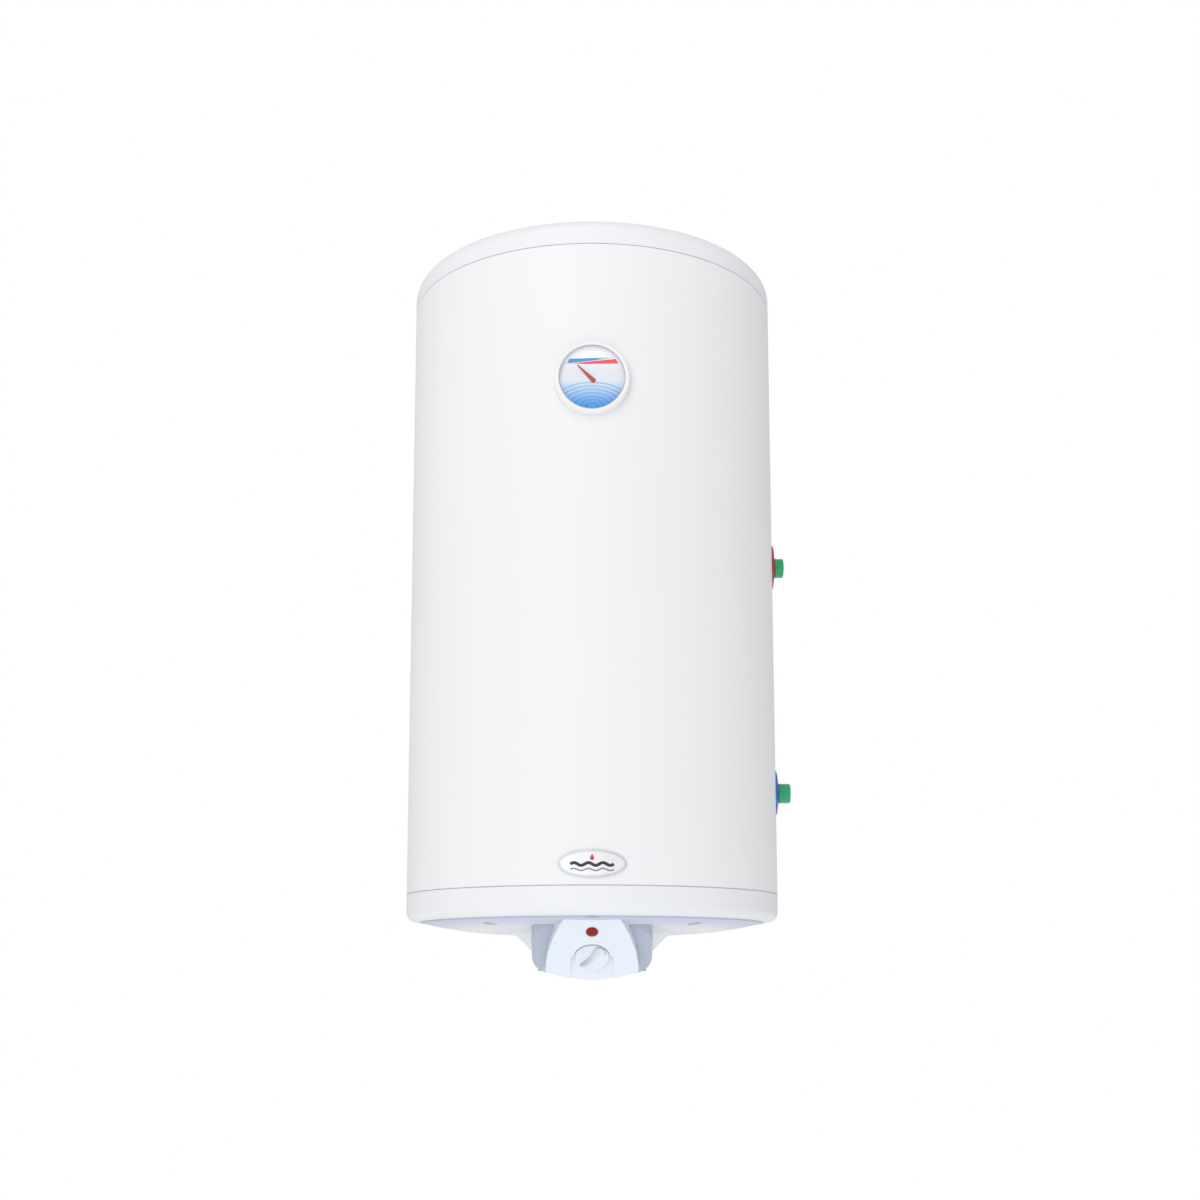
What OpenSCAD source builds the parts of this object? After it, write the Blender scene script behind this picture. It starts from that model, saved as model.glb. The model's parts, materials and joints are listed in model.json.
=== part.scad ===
// Wall-hung electric storage water heater of the 80 litre class, with an indirect heating coil.
//
// Frame: +Z up, +Y into the wall, so the front faces -Y. The origin is the centre of the two
// wall-bolt holes, on the wall plane. The sub-parts are drawn about the heater's own vertical
// axis, with z = 0 at the seam between casing and bottom cover, and on_axis() places them.

/* [Casing] */
// Outside radius of the enamelled casing
casing_r = 228; // [226:1:232]
// Height of the casing between its two seams
casing_h = 747; // [740:1:800]
// Thickness of the casing sheet
casing_t = 1.2; // [0.8:0.1:1.4]
// Width of the dark joint at each seam
seam_gap = 1.2; // [0.8:0.1:2]

/* [Covers] */
// Wall thickness of both plastic covers
cover_t = 2.5; // [2:0.1:3]
// Height of the top cover's upright side
top_side = 14; // [10:1:20]
// Radius of the top cover's rounded edge
top_fillet = 20; // [15:1:24]
// Rise of the top cover from its rounded edge to its middle
top_crown = 8; // [4:1:12]
// Height of the bottom cover's upright skirt
bottom_skirt = 20; // [18:1:22]
// Radius of the bottom cover's rounded edge
bottom_fillet = 12; // [10:1:14]
// Depth of the bottom cover's dome beside the hub
dome_depth = 46; // [45:0.5:47]
// Depth of the dome at its rim
dome_rim_depth = 33.5; // [33:0.5:34]
// Depth of the flat hub that the water pipes come out of
hub_depth = 65; // [62:1:66]
// Radius of the hub's flat
hub_r = 76; // [75:1:78]
// Radius where the hub flares out into the dome
hub_flare_r = 98; // [96:1:102]

/* [Tank] */
// Outside radius of the steel tank
tank_r = 195; // [193:1:196]
// Thickness of the tank's steel
tank_t = 2; // [1.6:0.1:2.4]
// Lowest point of the bottom head
tank_bottom = 12; // [10:1:14]
// Clear height between the top head and the casing's upper seam
tank_headroom = 10; // [8:1:14]
// Depth of each dished head
head_depth = 60; // [55:1:65]

/* [Flange and what it carries] */
// Distance of the flange's centre in front of the heater's axis
flange_offset = 50; // [49:0.5:51]
// Outside radius of the flange plate
flange_r = 70; // [68:1:71]
// Thickness of the flange plate
flange_t = 6; // [5:0.5:7]
// Outside radius of the tank's neck
neck_r = 56; // [55:0.5:56.5]
// Radius of the circle of flange studs
stud_circle_r = 62.5; // [62:0.5:63]
// Number of flange studs
stud_count = 6; // [6]
// Height that the heating element reaches
element_top = 230; // [150:10:300]
// Height that the magnesium anode reaches
anode_top = 300; // [200:10:400]
// Height that the thermometer pocket reaches
well_top = 280; // [200:10:320]

/* [Water connections] */
// Outside radius of a G1/2 thread
stub_r = 10.48; // [10.48]
// Inside radius of a water pipe
stub_bore_r = 8; // [7:0.5:8.5]
// Distance between the cold and hot pipes
pipe_pitch = 109; // [104:1:110]
// Distance of both pipes behind the heater's axis
pipe_back = 20; // [20:1:24]
// Depth of the pipes' threaded ends
pipe_end_depth = 89; // [86:1:92]
// Radius of a transport cap
cap_r = 13; // [12.5:0.1:13.5]
// Length of a bottom transport cap
cap_length = 20; // [16:1:22]

/* [Heating coil] */
// Radius of the coil's turns
coil_r = 140; // [120:5:150]
// Full turns between its two ports
coil_turns = 6; // [4:1:8]
// Height of the lower side port
lower_port_z = 128; // [120:1:140]
// Height of the upper side port
upper_port_z = 417; // [400:1:440]
// Radius of the coloured ring around a side port
rosette_r = 29; // [26:1:30]
// Distance that the upper port's cap stands out of the casing
upper_cap_reach = 15.3; // [15:0.1:18]
// Distance that the lower port's cap stands out of the casing
lower_cap_reach = 19; // [18:0.1:20]

/* [Wall fixing] */
// Distance from the back of the casing to the wall
wall_gap = 12; // [12:0.5:14]
// Height of the wall-bolt holes above the lower seam
bracket_z = 590; // [580:1:600]
// Distance between the two wall bolts
bolt_pitch = 200; // [200]
// Radius of a wall-bolt hole
bolt_hole_r = 6; // [6]
// Height of the bracket strip
bracket_h = 50; // [40:1:60]
// Thickness of the bracket strip
bracket_t = 3; // [3:0.5:4]
// Sideways distance of each lower spacer from the middle
spacer_x = 45; // [30:1:60]
// Height of the lower spacers
spacer_z = 70; // [60:1:100]

/* [Gauge] */
// Height of the thermometer's centre
gauge_z = 581.6; // [560:0.1:600]
// Outside radius of the bezel
bezel_r = 44; // [43:0.5:45]
// Radius of the window
glass_r = 39; // [38:0.5:40]
// Distance of the pointer's pivot below the dial's centre
pivot_drop = 1.5; // [1:0.5:3]
// Length of the pointer from its pivot
pointer_length = 23.7; // [22:0.1:26]
// Angle of the pointer to the left of upright
pointer_angle = 45; // [30:1:50]

/* [Badge] */
// Width of the oval badge
badge_w = 76; // [70:1:80]
// Height of the oval badge
badge_h = 31; // [28:1:34]
// Height of the badge's centre
badge_z = 23.5; // [20:0.5:30]

/* [Control nose] */
// Slope of the white fascia from level
ramp_angle = 45; // [45]
// Distance of the fascia's top edge in front of the axis
ramp_front = 196; // [195:1:197]
// Depth of the fascia's top edge
ramp_top_depth = 35.2; // [35.2]
// Length of the fascia down its slope
ramp_length = 95.5; // [95:0.5:96]
// Distance that the fascia stands out from the housing's sloping face
fascia_stand = 14; // [13.5:0.5:14]
// Wall thickness of the fascia and of the housing
nose_t = 2.4; // [2:0.1:2.6]
// Half of the housing's width
nose_half_w = 69; // [68.5:0.5:69.5]

/* [Control knob] */
// Radius of the knob
knob_r = 19.8; // [19.5:0.1:20]
// Distance of the knob's centre down the fascia
knob_down = 60.5; // [60:0.5:61]
// Angle between the knob's seat and the fascia
knob_tilt = 8; // [7:0.5:8]

/* [Hidden] */
$fn = 128;
e = 0.5;                                 // how far a cutter passes a face
slip = 0.15;                             // clearance between parts fixed to each other
run_fit = 0.06;                          // radial clearance of a part that turns or slides
top_z = casing_h;
tank_top = casing_h - tank_headroom;
head_r = (tank_r * tank_r + head_depth * head_depth) / (2 * head_depth);
shell_h = tank_top - tank_bottom - 2 * head_depth;
pipe_top = 60;
casing_bore_r = casing_r - casing_t;
foam_end = 14;                           // the foam stops this far inside each seam
spigot_h = 12;
seat_z = -17;                            // underside of the neck's ring
gasket_t = 3;
plate_top = seat_z - gasket_t;
plate_bottom = plate_top - flange_t;
element_x = 22;
element_y = -12;                         // from the flange's centre
element_r = 4.25;
well_r = 5;
well_y = 8;
anode_r = 11;
anode_y = 34;
wire_r = 1.3;
screw_circle_r = 182;                    // bottom cover screws
well_floor = -22;                        // top of the wells that they sit in
rim_r = casing_r - bottom_fillet - 10;   // outer edge of the bottom cover's dome
gauge_case_r = 30;
port_hole_r = 14;
lead = 40;                               // degrees that each of the coil's lead-ins takes
coil_steps = coil_turns * 20;
boss_x = 35;
boss_r = 11;
bracket_front = casing_r + 0.4;
wall_y = casing_r + wall_gap;
lamp_down = 20.2;
lamp_r = 6.85;
window_r = 21;
window_half_w = 24.4;
seat_depth = (ramp_length - knob_down) * tan(knob_tilt);
knob_angle = ramp_angle + knob_tilt;
gland_y = 46;
hub_clear = 0.1;
housing_bottom = 102;                    // lowest depth of the grey housing
housing_screw_z = -88.5;                 // underside of the housing screws' seats
dial_z = 1.6;                            // back of the dial, out from the casing's front line
glass_z = 4.8;                           // back of the window, out from the same line

enamel = [0.95, 0.95, 0.96];
cover_white = [0.93, 0.94, 0.98];
fascia_white = [0.94, 0.96, 1];
housing_grey = [0.72, 0.75, 0.84];
zinc = [0.72, 0.73, 0.74];
dark_steel = [0.45, 0.46, 0.48];
green = [0.05, 0.62, 0.32];
red = [0.76, 0.08, 0.1];
blue = [0.1, 0.35, 0.78];
copper = [0.8, 0.48, 0.32];
brass = [0.8, 0.66, 0.32];
black = [0.1, 0.1, 0.1];
foam = [0.93, 0.85, 0.6];
clear = [0.85, 0.92, 0.98, 0.3];

// ---- placing ------------------------------------------------------------------------------

module on_axis() translate([0, -wall_y, -bracket_z]) children();

// Child +Z points out of the front or the right side of the casing, at height z.
module on_front(z) translate([0, -casing_r, z]) rotate([90, 0, 0]) children();
module on_right(z) translate([casing_r, 0, z]) rotate([0, 90, 0]) children();

// Child +Z points out to the wall, from the heater's axis.
module to_wall(x, z) translate([x, 0, z]) rotate([-90, 0, 0]) children();

// Child +Z points out of the fascia's slope, +Y up the slope, at a distance down from its top.
module on_ramp(down) {
    translate([0, -ramp_front + down * cos(ramp_angle), -ramp_top_depth - down * sin(ramp_angle)])
        rotate([180 - ramp_angle, 0, 0]) children();
}

// The knob's seat: the fascia's slope turned about its lower edge.
module on_knob_seat() {
    on_ramp(ramp_length) rotate([-knob_tilt, 0, 0])
        translate([0, (ramp_length - knob_down) / cos(knob_tilt), 0]) children();
}

module at_flange() translate([0, -flange_offset, 0]) children();

// ---- shared shapes ------------------------------------------------------------------------

module tube(r_out, r_in, h) {
    difference() {
        cylinder(r = r_out, h = h);
        translate([0, 0, -e]) cylinder(r = r_in, h = h + 2 * e);
    }
}

// A male pipe thread drawn as rings, from z = 0 up to length.
module thread_rings(length, pitch = 1.814, depth = 1.1) {
    count = floor(length / pitch);
    rotate_extrude() polygon(concat(
        [[stub_bore_r, 0]],
        [for (i = [0 : count - 1], step = [0, 1])
            [stub_r - (step == 0 ? depth : 0), (i + step / 2) * pitch]],
        [[stub_r - depth, count * pitch], [stub_r - depth, length], [stub_bore_r, length]]));
}

// A round bar of radius r along a path. Aside is any direction that the path never runs along.
module sweep(path, r, sides = 12, aside = [0, 0, 1]) {
    last = len(path) - 1;
    rings = [for (i = [0 : last])
        let (
            along = path[min(i + 1, last)] - path[max(i - 1, 0)],
            ahead = along / norm(along),
            side_way = cross(aside, ahead),
            across = side_way / norm(side_way),
            up = cross(ahead, across)
        )
        for (k = [0 : sides - 1])
            path[i] + r * (cos(360 * k / sides) * across + sin(360 * k / sides) * up)];
    polyhedron(
        points = rings,
        faces = concat(
            [[for (k = [0 : sides - 1]) k]],
            [for (i = [0 : last - 1], k = [0 : sides - 1])
                let (n = (k + 1) % sides)
                [(i + 1) * sides + k, (i + 1) * sides + n, i * sides + n, i * sides + k]],
            [[for (k = [0 : sides - 1]) last * sides + sides - 1 - k]]));
}

module wire(points, r = wire_r) sweep(points, r, 10, [1, 0.31, 0.17]);

// ---- casing and covers --------------------------------------------------------------------

module outer_casing() {
    lock_seam_turn = 2.5;
    color(enamel) on_axis() difference() {
        union() {
            translate([0, 0, seam_gap / 2])
                tube(casing_r, casing_bore_r, casing_h - seam_gap);
            // The sheet's folded lock seam, off to one side of the bracket.
            translate([0, 0, seam_gap / 2 + 1]) rotate([0, 0, 63])
                rotate_extrude(angle = lock_seam_turn)
                    translate([casing_r - 0.6, 0]) square([1.4, casing_h - seam_gap - 2]);
        }
        on_front(gauge_z) cylinder(r = gauge_case_r + e, h = 40, center = true);
        for (z = [lower_port_z, upper_port_z])
            on_right(z) cylinder(r = port_hole_r, h = 40, center = true);
        for (side = [-1, 1])
            to_wall(side * boss_x, bracket_z)
                translate([0, 0, tank_r]) cylinder(r = boss_r + e, h = 60);
    }
}

// Half section of the top cover, upwards from the seam, drawn in by inset.
module top_section(inset) {
    edge_r = casing_r - top_fillet;
    shoulder = top_side + top_fillet - inset;
    crown_r = (edge_r * edge_r + top_crown * top_crown) / (2 * top_crown);
    square([casing_r - inset, top_side]);
    square([edge_r, shoulder]);
    intersection() {
        translate([edge_r, top_side]) circle(r = top_fillet - inset);
        square([casing_r, shoulder + e]);
    }
    intersection() {
        translate([0, shoulder + top_crown - crown_r]) circle(r = crown_r);
        square([edge_r, shoulder + top_crown + e]);
    }
}

// The ring that plugs a cover into the casing.
module spigot() {
    tube(casing_bore_r - slip, casing_r - 1.6 * cover_t, spigot_h + 6);
}

module top_cover() {
    color(cover_white) on_axis() {
        translate([0, 0, top_z + seam_gap / 2]) rotate_extrude() difference() {
            top_section(0);
            translate([0, -0.01]) top_section(cover_t);
        }
        translate([0, 0, top_z - spigot_h]) spigot();
    }
}

function dome_at(r) = dome_depth
    - (dome_depth - dome_rim_depth) * pow((r - hub_flare_r) / (rim_r - hub_flare_r), 2);

// Depth of the curve from the hub's edge (t = 1) out to the dome (t = 0).
function flare_at(t) = dome_depth + (hub_depth - dome_depth) * pow(t, 1.35);

// Half section of the bottom cover, with depth below the seam drawn upwards.
module bottom_section(inset) {
    square([casing_r - inset, bottom_skirt]);
    square([casing_r - bottom_fillet, bottom_skirt + bottom_fillet - inset]);
    intersection() {
        translate([casing_r - bottom_fillet, bottom_skirt]) circle(r = bottom_fillet - inset);
        square([casing_r, 100]);
    }
    polygon(concat(
        [[0, 0], [rim_r, 0]],
        [for (i = [6 : -1 : 0])
            let (r = hub_flare_r + (rim_r - hub_flare_r) * i / 6) [r, dome_at(r) - inset]],
        [for (t = [0.2 : 0.2 : 1])
            [hub_flare_r - (hub_flare_r - hub_r) * t, flare_at(t) - inset]],
        [[0, hub_depth - inset]]));
}

module bottom_solid(inset) mirror([0, 0, 1]) rotate_extrude() bottom_section(inset);

module at_cover_screws() {
    for (turn = [50, 130, 230, 310])
        rotate([0, 0, turn]) translate([screw_circle_r, 0, 0]) children();
}

module bottom_cover() {
    well_wall_r = 10;
    well_r_in = 8;
    color(cover_white) on_axis() difference() {
        union() {
            translate([0, 0, -seam_gap / 2]) difference() {
                bottom_solid(0);
                translate([0, 0, 0.01]) bottom_solid(cover_t);
            }
            translate([0, 0, -6]) spigot();
            intersection() {
                at_cover_screws() translate([0, 0, -hub_depth])
                    cylinder(r = well_wall_r, h = hub_depth + well_floor + 2);
                translate([0, 0, -seam_gap / 2]) bottom_solid(0.4);
            }
        }
        at_cover_screws() {
            translate([0, 0, -hub_depth]) cylinder(r = well_r_in, h = hub_depth + well_floor);
            translate([0, 0, well_floor - e]) cylinder(r = 2.3, h = 5);
        }
        // Shadow groove between the rounded edge and the dome.
        translate([0, 0, -bottom_skirt - bottom_fillet - 3]) tube(rim_r + 5, rim_r + 2, 4.2);
        // Snap slot at the front.
        translate([-5.5, -rim_r - 3.5, -dome_rim_depth - 4]) cube([11, 5, 8]);
        // Opening into the control nose, round the lugs that hold the housing's screws.
        translate([0, 0, -hub_depth - 2]) difference() {
            linear_extrude(height = hub_depth) housing_plan(8);
            at_housing_screws() cylinder(r = 8, h = 3 * hub_depth, center = true);
        }
        at_housing_screws() cylinder(r = 2 + slip, h = 3 * hub_depth, center = true);
        on_ramp(lamp_down) translate([0, 0, -20]) cylinder(r = 7, h = 20);
        for (side = [-1, 1])
            translate([side * pipe_pitch / 2, pipe_back, -hub_depth - 1])
                cylinder(r = stub_r + 1.5, h = 10);
        translate([0, gland_y, -hub_depth - 1]) cylinder(r = 8 + slip, h = 10);
    }
}

module cover_screws() {
    color(zinc) on_axis() at_cover_screws() translate([0, 0, well_floor]) {
        difference() {
            translate([0, 0, -3]) cylinder(r = 4.4, h = 3 - slip);
            for (turn = [0, 90])
                rotate([0, 0, turn]) translate([0, 0, -3]) cube([5, 1, 2.4], center = true);
        }
        translate([0, 0, -0.5]) cylinder(r = 2, h = 26);
    }
}

module cover_anchors() {
    color(black) on_axis() at_cover_screws() translate([0, 0, well_floor + 2 + slip]) difference() {
        cylinder(r = 9, h = foam_end - well_floor - 2 - 2 * slip);
        translate([0, 0, -e]) cylinder(r = 2 + slip, h = 28);
    }
}

// ---- tank ---------------------------------------------------------------------------------

// The space under a dished head, grown by grow. Its rim is at z = 0 and its foot at -head_depth.
module head_space(grow) {
    intersection() {
        translate([0, 0, head_r - head_depth]) sphere(r = head_r + grow);
        translate([0, 0, -head_depth - e]) cylinder(r = tank_r + grow, h = head_depth + e);
    }
}

// The space of the whole tank, grown by grow.
module tank_space(grow) {
    translate([0, 0, tank_bottom + head_depth]) {
        translate([0, 0, -e]) cylinder(r = tank_r + grow, h = shell_h + 2 * e);
        head_space(grow);
        translate([0, 0, shell_h]) mirror([0, 0, 1]) head_space(grow);
    }
}

module dished_head() {
    difference() {
        head_space(0);
        translate([0, 0, head_r - head_depth]) sphere(r = head_r - tank_t);
    }
}

module tank_shell() {
    color(dark_steel) on_axis() difference() {
        translate([0, 0, tank_bottom + head_depth]) tube(tank_r, tank_r - tank_t, shell_h);
        for (z = [lower_port_z, upper_port_z])
            on_right(z) cylinder(r = stub_r + slip, h = 120, center = true);
    }
}

module tank_top_head() {
    color(dark_steel) on_axis() translate([0, 0, tank_top - head_depth + 0.01])
        mirror([0, 0, 1]) dished_head();
}

module tank_bottom_head() {
    color(dark_steel) on_axis() difference() {
        translate([0, 0, tank_bottom + head_depth - 0.01]) dished_head();
        at_flange() cylinder(r = neck_r + slip, h = 100, center = true);
        for (side = [-1, 1])
            translate([side * pipe_pitch / 2, pipe_back, 0])
                cylinder(r = stub_r + slip, h = 100, center = true);
    }
}

module tank_neck() {
    ring_t = 8;
    color(dark_steel) on_axis() at_flange() difference() {
        union() {
            translate([0, 0, seat_z]) cylinder(r = flange_r, h = ring_t);
            translate([0, 0, seat_z]) cylinder(r = neck_r, h = 42 - seat_z);
        }
        cylinder(r = neck_r - 4, h = 200, center = true);
        at_studs() cylinder(r = 4 + slip, h = 100, center = true);
    }
}

module insulation_foam() {
    color(foam) on_axis() difference() {
        translate([0, 0, foam_end])
            cylinder(r = casing_bore_r - slip, h = casing_h - 2 * foam_end);
        tank_space(slip);
        at_flange() cylinder(r = flange_r + 3, h = 100, center = true);
        translate([0, pipe_back, 0])
            cube([pipe_pitch + 40, 40, 100], center = true);
        for (z = [lower_port_z, upper_port_z])
            on_right(z) translate([0, 0, -60]) cylinder(r = port_hole_r, h = 80);
        on_front(gauge_z) translate([0, 0, -60]) cylinder(r = gauge_case_r + 1, h = 80);
        // Channel for the gauge's capillary and bulb.
        translate([-8, -casing_r - e, gauge_z - 150]) cube([16, 45, 140]);
        for (side = [-1, 1])
            to_wall(side * boss_x, bracket_z)
                translate([0, 0, tank_r - 20]) cylinder(r = boss_r + 1, h = 60);
    }
}

// ---- flange and what it carries -----------------------------------------------------------

module at_studs() {
    for (i = [0 : stud_count - 1])
        rotate([0, 0, i * 360 / stud_count]) translate([stud_circle_r, 0, 0]) children();
}

module flange_gasket() {
    color(black) on_axis() at_flange() translate([0, 0, seat_z - gasket_t + 0.02])
        tube(neck_r - 1, neck_r - 10, gasket_t - 0.04);
}

module flange_plate() {
    color(zinc) on_axis() at_flange() translate([0, 0, plate_bottom]) difference() {
        cylinder(r = flange_r, h = flange_t);
        at_studs() cylinder(r = 4 + slip, h = 40, center = true);
        for (side = [-1, 1])
            translate([side * element_x, element_y, 0])
                cylinder(r = element_r + slip, h = 40, center = true);
        translate([0, well_y, 0]) cylinder(r = well_r + slip, h = 40, center = true);
        translate([0, anode_y, 0]) cylinder(r = 4 + slip, h = 40, center = true);
        translate([-38, 30, 0]) cylinder(r = 2 + slip, h = 40, center = true);
    }
}

module flange_fasteners() {
    color(zinc) on_axis() at_flange() at_studs() {
        translate([0, 0, plate_bottom - 11]) cylinder(r = 4, h = seat_z + 7 - plate_bottom + 11);
        translate([0, 0, plate_bottom - 6.6]) cylinder(r = 7.5, h = 6.5, $fn = 6);
    }
}

module heating_element() {
    leg_bottom = plate_bottom - 4;
    bend_z = element_top - element_x;
    color(copper) on_axis() at_flange() translate([0, element_y, 0]) {
        for (side = [-1, 1]) translate([side * element_x, 0, 0]) {
            translate([0, 0, leg_bottom]) cylinder(r = element_r, h = bend_z - leg_bottom);
            translate([0, 0, plate_top + 0.05]) cylinder(r = 8, h = 6);
        }
        translate([0, 0, bend_z]) rotate([90, 0, 0]) rotate_extrude(angle = 180)
            translate([element_x, 0]) circle(r = element_r);
    }
}

module element_terminals() {
    color([0.92, 0.9, 0.84]) on_axis() at_flange() for (side = [-1, 1])
        translate([side * element_x, element_y, plate_bottom - 12.05]) {
            cylinder(r = 5.5, h = 8);
            translate([-3.15, -0.4, -9]) cube([6.3, 0.8, 9.5]);
        }
}

module thermometer_well() {
    color(brass) on_axis() at_flange() translate([0, well_y, 0]) difference() {
        union() {
            translate([0, 0, plate_bottom - 3]) cylinder(r = well_r, h = well_top - plate_bottom + 3);
            translate([0, 0, plate_top + 0.05]) cylinder(r = well_r + 3, h = 4);
        }
        translate([0, 0, plate_bottom - 4]) cylinder(r = well_r - 1, h = well_top - plate_bottom + 2);
    }
}

module anode_rod() {
    color([0.6, 0.62, 0.62]) on_axis() at_flange() translate([0, anode_y, 0]) {
        translate([0, 0, plate_bottom - 14]) cylinder(r = 4, h = 20 + 14);
        translate([0, 0, plate_top + 3]) cylinder(r = anode_r, h = anode_top - plate_top - 3);
    }
}

module anode_nut() {
    color(zinc) on_axis() at_flange() translate([0, anode_y, plate_bottom - 6.6]) difference() {
        cylinder(r = 7.5, h = 6.5, $fn = 6);
        cylinder(r = 4 + slip, h = 40, center = true);
    }
}

module earth_screw() {
    color(brass) on_axis() at_flange() translate([-38, 30, plate_bottom]) {
        translate([0, 0, -3]) cylinder(r = 4, h = 2.9);
        translate([0, 0, -1]) cylinder(r = 2, h = flange_t);
    }
}

// ---- water connections --------------------------------------------------------------------

// A steel pipe at x, from its threaded lower end up into the tank.
module water_pipe(x) {
    thread = 16;
    translate([x, pipe_back, -pipe_end_depth]) {
        thread_rings(thread);
        translate([0, 0, thread - 0.01])
            tube(stub_r, stub_bore_r, pipe_top + pipe_end_depth - thread);
    }
}

module cold_inlet_pipe() color(zinc) on_axis() water_pipe(pipe_pitch / 2);

module hot_outlet_pipe() color(zinc) on_axis() water_pipe(-pipe_pitch / 2);

// Carries the outlet pipe on up, to draw the hot water from below the tank's top.
module hot_standpipe() {
    color(zinc) on_axis() translate([-pipe_pitch / 2, pipe_back, pipe_top + 0.1])
        tube(stub_r, stub_bore_r, tank_top - 35 - pipe_top);
}

module inlet_diffuser() {
    color(cover_white) on_axis() translate([pipe_pitch / 2, pipe_back, pipe_top + 0.1]) {
        for (turn = [0 : 90 : 270])
            rotate([0, 0, turn]) translate([stub_bore_r, -1, 0]) cube([2.4, 2, 8.5]);
        translate([0, 0, 8]) cylinder(r = 17, h = 2.5);
    }
}

module pipe_rosette(x) {
    translate([x, pipe_back, -hub_depth - seam_gap / 2 - 4.1]) tube(14.5, stub_r + slip, 4);
}

module cold_rosette() color(blue) on_axis() pipe_rosette(pipe_pitch / 2);
module hot_rosette() color(red) on_axis() pipe_rosette(-pipe_pitch / 2);

// A push-on cap with its mouth at z = 0 and its closed end at +Z, gripped by small ribs.
module push_cap(length, r) {
    end_t = 2;
    ribs = 12;
    difference() {
        union() {
            cylinder(r = r - 0.5, h = length);
            cylinder(r = r, h = 2);
            for (i = [0 : ribs - 1])
                rotate([0, 0, i * 360 / ribs]) translate([r - 0.9, -0.6, 0]) cube([0.8, 1.2, length]);
        }
        translate([0, 0, -e]) cylinder(r = stub_r + run_fit, h = length - end_t + e);
    }
}

module bottom_cap(x) {
    translate([x, pipe_back, -pipe_end_depth - 2.2 + cap_length]) mirror([0, 0, 1])
        push_cap(cap_length, cap_r);
}

module cold_pipe_cap() color(green) on_axis() bottom_cap(pipe_pitch / 2);
module hot_pipe_cap() color(green) on_axis() bottom_cap(-pipe_pitch / 2);

// Points down the middle of the coil's tube: straight in from the wall of the tank, round its
// turns, and straight out again.
function lead_r(t) = tank_r - 12 - (tank_r - 12 - coil_r) * t;
function coil_point(r, turn, z) = [r * cos(turn), r * sin(turn), z];
function coil_path() = concat(
    [for (i = [0 : 5]) let (t = i / 6)
        coil_point(lead_r(sin(90 * t)), lead * pow(t, 3), lower_port_z)],
    [for (i = [0 : coil_steps]) let (t = i / coil_steps)
        coil_point(coil_r, lead + (360 * coil_turns - 2 * lead) * t,
            lower_port_z + (upper_port_z - lower_port_z) * t)],
    [for (i = [5 : -1 : 0]) let (t = i / 6)
        coil_point(lead_r(sin(90 * t)), 360 * coil_turns - lead * pow(t, 3), upper_port_z)]);

module heating_coil() color(dark_steel) on_axis() sweep(coil_path(), stub_r);

module coil_stub(z, reach) {
    inner_end = tank_r - 10;
    thread = 10;
    outer_end = casing_r + reach - 2.2;
    translate([outer_end, 0, z]) rotate([0, -90, 0]) {
        thread_rings(thread);
        translate([0, 0, thread - 0.01]) tube(stub_r, stub_bore_r, outer_end - inner_end - thread);
    }
}

module upper_coil_stub() color(zinc) on_axis() coil_stub(upper_port_z, upper_cap_reach);
module lower_coil_stub() color(zinc) on_axis() coil_stub(lower_port_z, lower_cap_reach);

module port_rosette(z) {
    difference() {
        on_right(z) translate([0, 0, -8]) {
            cylinder(r = rosette_r, h = 10.5);
            cylinder(r = rosette_r - 3, h = 11.5);
        }
        translate([0, 0, z - 50]) cylinder(r = casing_r + slip, h = 100, $fn = 360);
        on_right(z) cylinder(r = stub_r + slip, h = 60, center = true);
    }
}

module upper_port_rosette() color(red) on_axis() port_rosette(upper_port_z);
module lower_port_rosette() color(blue) on_axis() port_rosette(lower_port_z);

module port_cap(z, reach) {
    length = reach - 3.8;
    on_right(z) translate([0, 0, reach - length]) push_cap(length, cap_r - 0.5);
}

module upper_port_cap() color(green) on_axis() port_cap(upper_port_z, upper_cap_reach);
module lower_port_cap() color(green) on_axis() port_cap(lower_port_z, lower_cap_reach);

// ---- wall fixing --------------------------------------------------------------------------

module wall_bracket() {
    middle_w = 130;
    strip_w = 260;
    ear_w = (strip_w - middle_w) / 2 + bracket_t;
    color(zinc) on_axis() translate([0, 0, bracket_z]) difference() {
        union() {
            translate([-middle_w / 2, bracket_front, -bracket_h / 2])
                cube([middle_w, bracket_t, bracket_h]);
            for (side = [-1, 1]) {
                translate([side * (middle_w - bracket_t) / 2 - bracket_t / 2, bracket_front,
                           -bracket_h / 2])
                    cube([bracket_t, wall_y - bracket_front, bracket_h]);
                translate([side * (strip_w - ear_w) / 2 - ear_w / 2, wall_y - bracket_t,
                           -bracket_h / 2])
                    cube([ear_w, bracket_t, bracket_h]);
            }
        }
        for (side = [-1, 1]) {
            to_wall(side * bolt_pitch / 2, 0) cylinder(r = bolt_hole_r, h = 400);
            to_wall(side * boss_x, 0) cylinder(r = 5 + slip, h = 400);
        }
    }
}

module bracket_bosses() {
    color(dark_steel) on_axis() difference() {
        for (side = [-1, 1])
            to_wall(side * boss_x, bracket_z)
                translate([0, 0, tank_r - 10]) cylinder(r = boss_r, h = bracket_front - tank_r + 9.9);
        translate([0, 0, bracket_z - 50]) cylinder(r = tank_r + 0.1, h = 100);
        for (side = [-1, 1])
            to_wall(side * boss_x, bracket_z) cylinder(r = 5 + slip, h = 400);
    }
}

module bracket_bolts() {
    head_back = bracket_front + bracket_t + 0.05;
    color(zinc) on_axis() for (side = [-1, 1]) to_wall(side * boss_x, bracket_z) {
        translate([0, 0, head_back]) cylinder(r = 9.8, h = 6.4, $fn = 6);
        translate([0, 0, head_back - 26]) cylinder(r = 5, h = 27);
    }
}

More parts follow.
